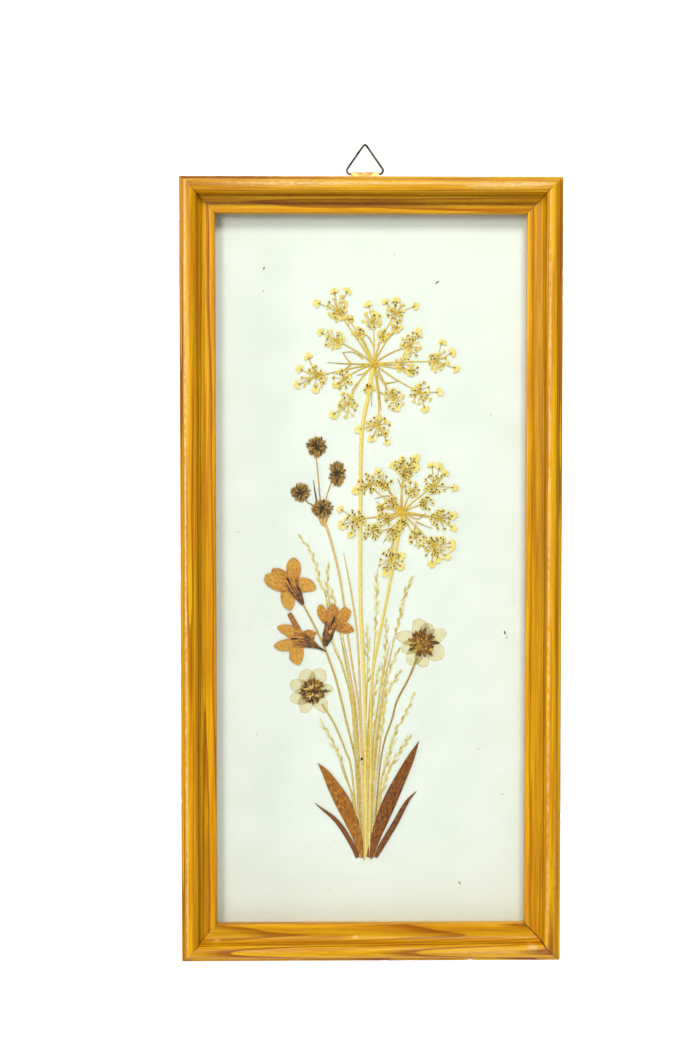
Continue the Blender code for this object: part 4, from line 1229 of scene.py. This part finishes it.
# %% [markdown]
# ## Bellflowers
# Three bellflowers on one stem have dried to ochre and violet brown. Each was a bell: a tube
# that opens to five lobes. Pressed from the side, the tube is a dark striped wedge, since there
# are two walls and all the veins, and the lobes spread from its mouth. Each lobe is a wide blade
# with a vein down its middle and finer ones beside it, a little wavy, and darker along its edge.

# %% Tints of a bell
def lobe_tint(pale):
    """Ochre in the middle of a lobe, darker at its root, its edge and its veins."""
    def tint(t, a):
        veins = 0.07 * max(0.0, math.cos(a * 10.0)) ** 3 * (1 - 0.6 * t)
        return pale + 0.3 * (1 - t) ** 3 + 0.16 * abs(a) ** 6 + veins + 0.1 * t ** 8
    return tint


def tube_tint(t, a):
    """Violet brown with dark and ochre stripes that run out into the lobes."""
    stripe = 0.5 + 0.5 * math.cos(a * 15.0)
    return 0.98 - 0.3 * stripe - 0.42 * t ** 2.2 + 0.1 * abs(a) ** 3


print(f"a tube goes from tint {tube_tint(0, 0):.2f} at its foot to {tube_tint(1, 0):.2f} at its mouth")

# %% Build the bellflowers
BELLS = {
    "top": {
        "lobes": [([(-44.5, -4.5), (-48.5, -1.8), (-53, -0.2)], [4, 5.4, 5.2, 2.6], 0.28, 0),
                  ([(-41.2, -6), (-41.2, 1), (-41.3, 6.9)], [3.8, 6.6, 8.0, 6.4, 1.6], 0.2, 1),
                  ([(-41, -8.0), (-35, -7.7), (-29.4, -9.6)], [5.4, 7.6, 7.6, 5.8, 1.6], 0.14, 1),
                  ([(-44, -8.4), (-50.5, -5.9), (-56.6, -3.2)], [6.6, 8.4, 8.8, 7.2, 2.6], 0.18, 2),
                  ([(-44.6, -8.8), (-44.2, -15.5), (-43, -21)], [5, 7.2, 7.4, 5.6, 1.6], 0.14, 2)],
        "tube": ([(-36.2, -18.2), (-38.2, -14.4), (-41.0, -9.6), (-43.2, -5.0)], [1.6, 4.2, 6.6, 8.6]),
        "style": [(-44.8, -3.7), (-43.8, -5.4), (-42.6, -7.4)]},
    "left": {
        "lobes": [([(-36.5, -35), (-33.2, -33.5), (-29.2, -33.7)], [2.8, 3.6, 3.4, 1.2], 0.36, 0),
                  ([(-36, -36), (-32.6, -35), (-30, -36.4)], [2.8, 3.6, 3.0, 0.8], 0.36, 0),
                  ([(-36.4, -36.2), (-40.3, -28.8), (-43.6, -22.7)], [2.6, 2.8, 2.9, 2.7, 2.2], 0.5, 1),
                  ([(-37, -35.5), (-44, -32), (-49.9, -30.3)], [5.4, 7.0, 6.4, 4.4, 1.2], 0.18, 1),
                  ([(-38.6, -38.4), (-46, -40), (-51.8, -40.2)], [5, 6.4, 6.2, 4.6, 1], 0.16, 2),
                  ([(-39.6, -39), (-39.7, -45.5), (-38.6, -50.3)], [5, 7.3, 7.6, 5.6, 1.6], 0.14, 2)],
        "tube": ([(-23.8, -43.3), (-28, -41.1), (-32.2, -38.9), (-36.6, -37.4), (-41.5, -37.0)],
                 [0.7, 1.8, 5.2, 7.6, 7.8]),
        "style": [(-42.4, -36.6), (-40.6, -36.4), (-38.6, -36.6)]},
    "right": {
        "lobes": [([(-18.6, -29.4), (-14.2, -30.5), (-9.0, -32.2)], [4.4, 6.2, 5.6, 1.0], 0.34, 0),
                  ([(-18.4, -29), (-15, -24.6), (-12.0, -20.4)], [4.6, 6.4, 6.6, 4.2], 0.3, 1),
                  ([(-22.4, -28.4), (-25.8, -23), (-26.9, -18.2)], [3.4, 5.0, 5.4, 4.2, 1.8], 0.3, 1),
                  ([(-21.2, -27.6), (-20.6, -22), (-20.0, -18.2)], [4.4, 5.6, 6.0, 4.4, 2.4], 0.36, 2)],
        "tube": ([(-24.5, -40.3), (-23.2, -35.6), (-21.9, -30.6), (-20.8, -25.4)], [2.0, 5.4, 6.0, 7.4]),
        "style": [(-19.2, -24.9), (-20.2, -27.2), (-21.6, -29.8)]},
}
for name, bell in BELLS.items():
    shape = Shape()
    for path, widths, pale, over in bell["lobes"]:
        blade(shape, path, widths, level(4) + 0.09 * over, lobe_tint(pale), columns=15, steps=10,
              thick=0.12, waves=0.14)
    blade(shape, *bell["tube"], level(4) + 0.32, tube_tint, columns=17, steps=10, thick=0.35, waves=0.1)
    blade(shape, bell["style"], [0.7, 1.1, 0.5], level(4) + 0.62, 1.15, thick=0.3)
    if name == "right":
        blade(shape, [(-22.0, -33.6), (-21.6, -32.6), (-21.0, -31.8)], [0.5, 1.5, 0.5],
              level(4) + 0.62, 0.02)
    make_piece(f"bellflower_{name}_pressed", shape, petal_ochre, [f"bellflower_{name}"])


# %% The stems of single flowers
def thin_stem(name, path, widths, layer, tint):
    """A pressed stem of its own, a little darker along its edges."""
    shape = Shape()
    blade(shape, path, widths, level(layer), lambda t, a: tint + 0.25 * abs(a) ** 2, thick=0.35,
          columns=5, steps=10)
    make_piece(f"{name}_pressed", shape, straw, [name])


thin_stem("bellflower_stem", [
    (-36, -18.4), (-30.4, -29), (-25.3, -40), (-21.8, -49), (-18.6, -58.5), (-15.4, -71), (-13.3, -80),
    (-10.8, -90), (-7.9, -103), (-6.8, -116), (-5.2, -154.2)], [0.9, 1.0, 1.0, 1.0, 0.9, 0.8], 3, 0.62)

# %% [markdown]
# ## Ray flowers
# Two small daisy-like flowers have kept their brown heads, while their ray petals bleached until
# they are hardly more than stains on the paper. The pale petals are thin wide blades, near the
# paper's own colour. Over them lie a ring or two of narrow brown bracts and the dark florets of
# the middle. The right-hand one still has some yellow florets between its bracts.

# %% The bleached petals
LEFT_RAY_FLOWER, RIGHT_RAY_FLOWER = (-31.0, -64.6), (27.6, -38.6)


def bleached_petal():
    """A petal that has lost its colour and is thin enough for the paper to show through."""
    material = dried_tissue("bleached_ray_petal", [
        (0.0, "#fff3c4"), (0.4, "#fae9b0"), (0.8, "#f0d690"), (1.0, "#dcb868")], ribs=5.0, patches=0.3)
    material.node_tree.nodes["Principled BSDF"].inputs["Alpha"].default_value = 0.28
    return material


bleached = bleached_petal()


def ghost_petals(name, centre, spread, seed):
    """Bleached ray petals: (angle, distance of the tip, width) from the centre."""
    shape = Shape()
    chance = random.Random(seed)
    for number, (angle, reach, width) in enumerate(spread):
        swing = angle + chance.uniform(-9, 9)
        blade(shape, [spoke(centre, angle, 3.0), spoke(centre, swing, reach * 0.55),
                      spoke(centre, angle, reach)],
              [2.0, width * chance.uniform(0.7, 0.9), width, width * chance.uniform(0.7, 0.95), width * 0.3],
              0.04 + 0.05 * number / len(spread), lambda t, a: 0.3 + 0.5 * abs(a) ** 6 + 0.4 * t ** 8,
              thick=0.02, columns=9, steps=6)
    make_piece(name, shape, bleached)


ghost_petals("ray_flower_left_bleached_petals", LEFT_RAY_FLOWER, [
    (8, 11, 7), (62, 13, 9), (112, 12.5, 9), (160, 13, 8), (200, 13, 9), (248, 13, 9), (300, 13.5, 8)], 41)
ghost_petals("ray_flower_right_bleached_petals", RIGHT_RAY_FLOWER, [
    (105, 13, 10), (68, 11, 8), (25, 14, 9), (325, 14, 10), (240, 14, 9), (275, 13.5, 8),
    (165, 14.5, 8), (200, 12, 8)], 43)

# %% The left head
LEFT_BRACTS = 150
left_head = Shape()
chance = random.Random(53)
blade(left_head, [spoke(LEFT_RAY_FLOWER, -90, 3.4), spoke(LEFT_RAY_FLOWER, 90, 3.4)], [4, 6.4, 4],
      level(4) + 0.1, 0.8, thick=0.3, columns=7)
for k in range(LEFT_BRACTS):
    share = 1 - k / LEFT_BRACTS
    angle = k * GOLDEN_ANGLE + chance.uniform(-15, 15)
    root = spoke(LEFT_RAY_FLOWER, angle, 5.3 * math.sqrt(share))
    reach = chance.uniform(1.5, 2.5)
    bend = spoke(root, angle + chance.uniform(-30, 30), reach / 2)
    tip = spoke(bend, angle + chance.uniform(-50, 50), reach / 2)
    dark = chance.choice((0.42, 0.55, 0.7, 0.85, 1.0)) - 0.2 * (share < 0.3)
    blade(left_head, [root, bend, tip], [0.5, 1.05, 0.55], level(4) + 0.1 + 0.3 * (1 - share),
          lambda t, a, dark=dark: dark - 0.15 * t + 0.25 * abs(a) ** 2, thick=0.3, steps=2)
blade(left_head, [(-26, -64.4), (-24.4, -64.9), (-21.5, -64.2)], [1.2, 0.8, 0.4], level(4) + 0.2, 0.72)
make_piece("ray_flower_left_pressed", left_head, head_brown, ["ray_flower_left"])

# %% The right head
NARROW_BRACTS, FLORETS = 30, 40
right_head = Shape()
for angle, reach in ((115, 6.6), (92, 6.2), (150, 6.0), (182, 7.4), (200, 7.2), (222, 7.0), (245, 6.8),
                     (318, 7.2), (336, 6.4), (0, 6.6), (20, 6.8), (44, 6.4), (290, 6.2), (268, 6.0)):
    blade(right_head, [RIGHT_RAY_FLOWER, spoke(RIGHT_RAY_FLOWER, angle, reach * 0.6),
                       spoke(RIGHT_RAY_FLOWER, angle, reach)],
          [1.8, 2.6, 2.8, 1.4], level(4) + 0.05, lambda t, a: 0.3 + 0.12 * abs(a), columns=5)
for k in range(NARROW_BRACTS):
    angle = k * 360 / NARROW_BRACTS * 2 + chance.uniform(-8, 8)
    far = chance.uniform(6.4, 9.2) if k % 2 else chance.uniform(4.4, 6.6)
    root = spoke(RIGHT_RAY_FLOWER, angle, far * 0.25)
    dark = chance.uniform(0.46, 0.7)
    blade(right_head, [root, spoke(RIGHT_RAY_FLOWER, angle + chance.uniform(-6, 6), far * 0.65),
                       spoke(RIGHT_RAY_FLOWER, angle, far)], [0.8, 1.5, 1.7, 0.5],
          level(4) + 0.15 + 0.1 * (k % 3), lambda t, a, dark=dark: dark + 0.2 * abs(a) ** 2, thick=0.3)
blade(right_head, [spoke(RIGHT_RAY_FLOWER, -90, 1.8), spoke(RIGHT_RAY_FLOWER, 90, 1.8)], [2, 3.6, 2],
      level(4) + 0.3, 0.6, thick=0.3, columns=5)
for k in range(FLORETS):
    angle = k * GOLDEN_ANGLE
    root = spoke(RIGHT_RAY_FLOWER, angle, 3.6 * math.sqrt(k / FLORETS))
    blade(right_head, [root, spoke(root, angle, 0.6), spoke(root, angle, 1.3)], [0.4, 0.8, 0.4],
          level(4) + 0.45, chance.choice((0.38, 0.46, 0.56, 0.75)), thick=0.3, steps=2)
make_piece("ray_flower_right_pressed", right_head, head_brown,
           ["ray_flower_right"])

# %% The stems of the ray flowers
thin_stem("ray_flower_left_stem", [(-26.1, -71.6), (-20.8, -80), (-17.6, -86.5), (-13.3, -97.4),
                                   (-10.1, -108.7), (-5.6, -154.2)], [0.8, 0.9, 0.9, 0.8], 3, 0.55)
thin_stem("ray_flower_right_stem", [(24.8, -46.8), (20.5, -57.5), (14.1, -70), (11.4, -80), (8.2, -89),
                                    (6.1, -98), (4.4, -111), (0.9, -154.2)],
          [1.1, 1.0, 0.9, 0.8, 0.8], 3, 0.8)

# %% [markdown]
# ## Grasses
# Thirteen culms of thin meadow grass fill the middle of the bouquet and keep the flowers apart.
# A culm is a thread with a few pointed spikelets near its tip, set left and right by turns and
# pressed close to it. At the foot, the culms and their narrow leaf blades lie over each other in
# a dense straw-coloured sheaf. One entry is a culm's layer, its number of spikelets and its line.

# %% Where the culms lie
CULMS = [
    (1, 9, [(-25.6, -82.7), (-20.5, -92), (-16, -102), (-12.2, -113.6), (-8.4, -126.6), (-5.9, -154)]),
    (0, 13, [(-36.7, 16.6), (-32, 10), (-28.8, 1), (-27, -7), (-24, -14), (-21, -37), (-15.4, -51.5),
             (-10.6, -70), (-8.4, -100), (-5.2, -154)]),
    (1, 9, [(-22.8, 0.5), (-23.2, -9), (-21, -22), (-16.7, -33), (-13.8, -48), (-9.6, -70), (-7, -100),
            (-4.6, -154)]),
    (0, 9, [(-20.3, -13), (-17.5, -24), (-14.4, -38), (-11, -55), (-8.4, -72), (-6.4, -100),
            (-4.1, -154)]),
    (1, 12, [(-1.9, -33), (-1.6, -50), (-2.4, -75), (-3.4, -100), (-3.4, -154)]),
    (0, 13, [(3.4, -4), (2.4, -34), (0.4, -60), (-1.4, -90), (-2.8, -154)]),
    (1, 12, [(4.0, -55), (1.8, -66), (0.2, -85), (-1.2, -110), (-2.2, -154)]),
    (0, 14, [(8.2, -28.5), (7.8, -45), (4.4, -68), (1.6, -90), (-0.2, -115), (-1.5, -154)]),
    (1, 14, [(21.6, -5), (17.8, -14), (15.8, -24), (11.4, -42), (7.4, -60), (4.4, -82), (1.4, -110),
             (-0.9, -154)]),
    (0, 14, [(14.1, -44.6), (9.4, -56), (6.4, -72), (3.8, -92), (1.2, -120), (-0.3, -154)]),
    (1, 14, [(15.2, -55.4), (8.8, -66), (6.4, -82), (4.6, -98), (2.2, -120), (0.4, -154)]),
    (0, 15, [(22.7, -67.8), (17.9, -79), (13.6, -86), (9.0, -102), (5.0, -118), (1.1, -154)]),
    (1, 14, [(20.0, -91), (12.5, -102), (8.0, -112), (4.4, -128), (1.8, -154)]),
]
SPIKELET_SPACING = 2.7
print(f"{len(CULMS)} culms with {sum(count for _, count, _ in CULMS)} spikelets")


# %% Build the grasses
def direction_at(line, k):
    """The heading in degrees of a line of points, towards its first point."""
    near, far = line[max(k - 1, 0)], line[min(k + 1, len(line) - 1)]
    return math.degrees(math.atan2(near[1] - far[1], near[0] - far[0]))


def add_spikelets(grass, line, spikelets, height, chance):
    """Pointed spikelets from the tip downwards, left and right by turns. About half have an awn."""
    place, travelled = 0, 0.0
    for spikelet in range(spikelets):
        side = 1 if spikelet % 2 else -1
        heading = direction_at(line, place)
        angle = heading + side * chance.uniform(9, 24) * (spikelet > 0)
        reach = chance.uniform(2.8, 4.6)
        root = line[place]
        tip = spoke(root, angle, reach)
        bend = spoke(root, angle + side * 4, reach * 0.5)
        pale = chance.uniform(0.1, 0.55)
        blade(grass, [root, bend, tip], [0.4, 1.1, 0.9, 0.12], height,
              lambda t, a, pale=pale: pale + 0.25 * abs(a), steps=3)
        if chance.random() < 0.5:
            awn = spoke(tip, angle, 1.6)
            blade(grass, [spoke(tip, angle, -0.8), spoke(tip, angle, 0.5), awn], [0.3, 0.2, 0.08],
                  height, 0.5, steps=2)
        travelled += SPIKELET_SPACING * chance.uniform(0.8, 1.25)
        while place < len(line) - 1 and math.dist(line[place], line[0]) < travelled:
            place += 1


def add_leaf_blades(grass, line, count, height, chance):
    """Narrow leaf blades that leave the culm at different places and run down beside it."""
    for number in range(count):
        start = chance.uniform(0.3, 0.62)
        first = int(start * (len(line) - 1))
        kept = [line[k] for k in range(first, len(line), 24)] + [line[-1]]
        shift = chance.uniform(-1.6, 1.6)
        path = [(x + shift * (1 - k / len(kept)) * 1.2, z) for k, (x, z) in enumerate(kept)]
        if len(path) > 2:
            pale = chance.uniform(0.05, 0.8)
            blade(grass, path, [0.12, 0.4, 0.5, 0.45], height + 0.1 * number,
                  lambda t, a, pale=pale: pale + 0.3 * abs(a) ** 2, thick=0.3, steps=6)


chance = random.Random(71)
for number, (layer, spikelets, path) in enumerate(CULMS, 1):
    grass = Shape()
    blade(grass, path, [0.35, 0.5, 0.7, 0.8, 0.8], level(layer),
          lambda t, a: 0.5 + 0.2 * abs(a), thick=0.25, steps=10)
    line = smooth(path, 30)
    add_spikelets(grass, line, spikelets, level(layer) + 0.15, chance)
    add_leaf_blades(grass, line, 1 + number % 2, level(layer) + 0.1, chance)
    make_piece(f"grass_{number}_pressed", grass, straw, [f"grass_{number}"])

# %% [markdown]
# ## Leaves
# Four lance-shaped leaves close the bouquet at its foot, where one straight cut trimmed
# everything. They have dried to a leathery red-brown, with many fine veins that run side by
# side from foot to tip. The widest blades have the most columns of points, so that they can
# buckle a little between the veins.

# %% Build the leaves
FOOT = -154.5
LEAVES = {
    "left_short": (4, 0.62, [(-30.0, -124.9), (-25.0, -129.0), (-20.0, -133.0), (-15.6, -138.2),
                             (-11.9, -144.2), (-9.0, -149.6), (-6.9, FOOT)],
                   [0.2, 1.3, 2.1, 2.6, 2.6, 2.5, 2.3]),
    "left_tall": (4.5, 0.3, [(-28.4, -103.4), (-24.2, -108.6), (-19.6, -116.5), (-15.0, -124.5),
                             (-10.6, -134), (-7.0, -144), (-4.6, FOOT)],
                  [0.2, 3.6, 6.6, 8.2, 7.2, 5.0, 1.8]),
    "right_short": (4, 0.66, [(24.6, -118.6), (20.0, -123.8), (16.9, -129.0), (13.4, -135.6),
                              (9.5, -142.2), (5.7, -148.6), (2.6, FOOT)],
                    [0.2, 1.9, 2.7, 3.1, 3.2, 3.1, 2.0]),
    "right_tall": (4.5, 0.6, [(25.9, -91.6), (21.4, -101), (16.2, -111.5), (11.0, -122.5), (6.6, -133),
                              (2.6, -144), (-0.6, FOOT)], [0.2, 4.0, 6.0, 7.4, 7.0, 5.2, 3.6]),
}
for name, (layer, dark, path, widths) in LEAVES.items():
    leaf = Shape()
    blade(leaf, path, widths, level(layer), lambda t, a: dark + 0.3 * t * (1 - t) + 0.12 * abs(a) ** 5
          + 0.1 * math.exp(-((a - 0.05) / 0.1) ** 2), columns=21, steps=12, thick=0.22, waves=0.22)
    make_piece(f"leaf_{name}_pressed", leaf, leaf_brown, [f"leaf_{name}"])

# %% [markdown]
# ## Crumbs on the paper
# A few crumbs of leaf and seed slipped behind the glass when the frame was closed, and they are
# still there. Each is a flake about a millimetre long.

# %% Build the crumbs
CRUMBS = [(-56.6, 160.5, 70, 1.9, 0.35), (35.3, 153.2, 35, 2.3, 0.6), (-57.1, 148.3, 60, 0.9, 0.5),
          (72.0, -33.4, 110, 2.2, 0.75), (73.1, -36.1, 60, 1.2, 0.75), (-43.2, -47.2, 80, 1.3, 1.0),
          (48.1, -168.6, 130, 1.9, 0.3), (64.0, 83.0, 20, 0.8, 0.3), (-70.5, 20.5, 50, 0.9, 0.35),
          (-61.0, -88.0, 10, 0.8, 0.4), (58.0, -96.0, 75, 0.9, 0.35), (71.0, -120.5, 40, 1.0, 0.4),
          (-22.0, -172.0, 15, 0.8, 0.3), (12.5, 168.0, 90, 0.8, 0.3)]
crumbs = Shape()
for x, z, angle, reach, dark in CRUMBS:
    blade(crumbs, [spoke((x, z), angle, -reach / 2), spoke((x, z), angle + 90, 0.12),
                   spoke((x, z), angle, reach / 2)], [0.25, reach * 0.4, 0.3], 0.05, dark, thick=0.2)
make_piece("leaf_crumbs", crumbs, leaf_brown)
seed = Shape()
blade(seed, [(-4.9, -100.4), (-4.8, -101.2), (-5.0, -102.0)], [0.5, 1.4, 0.5], level(4), 1.1, thick=0.5)
make_piece("black_seed", seed, sedge_brown)
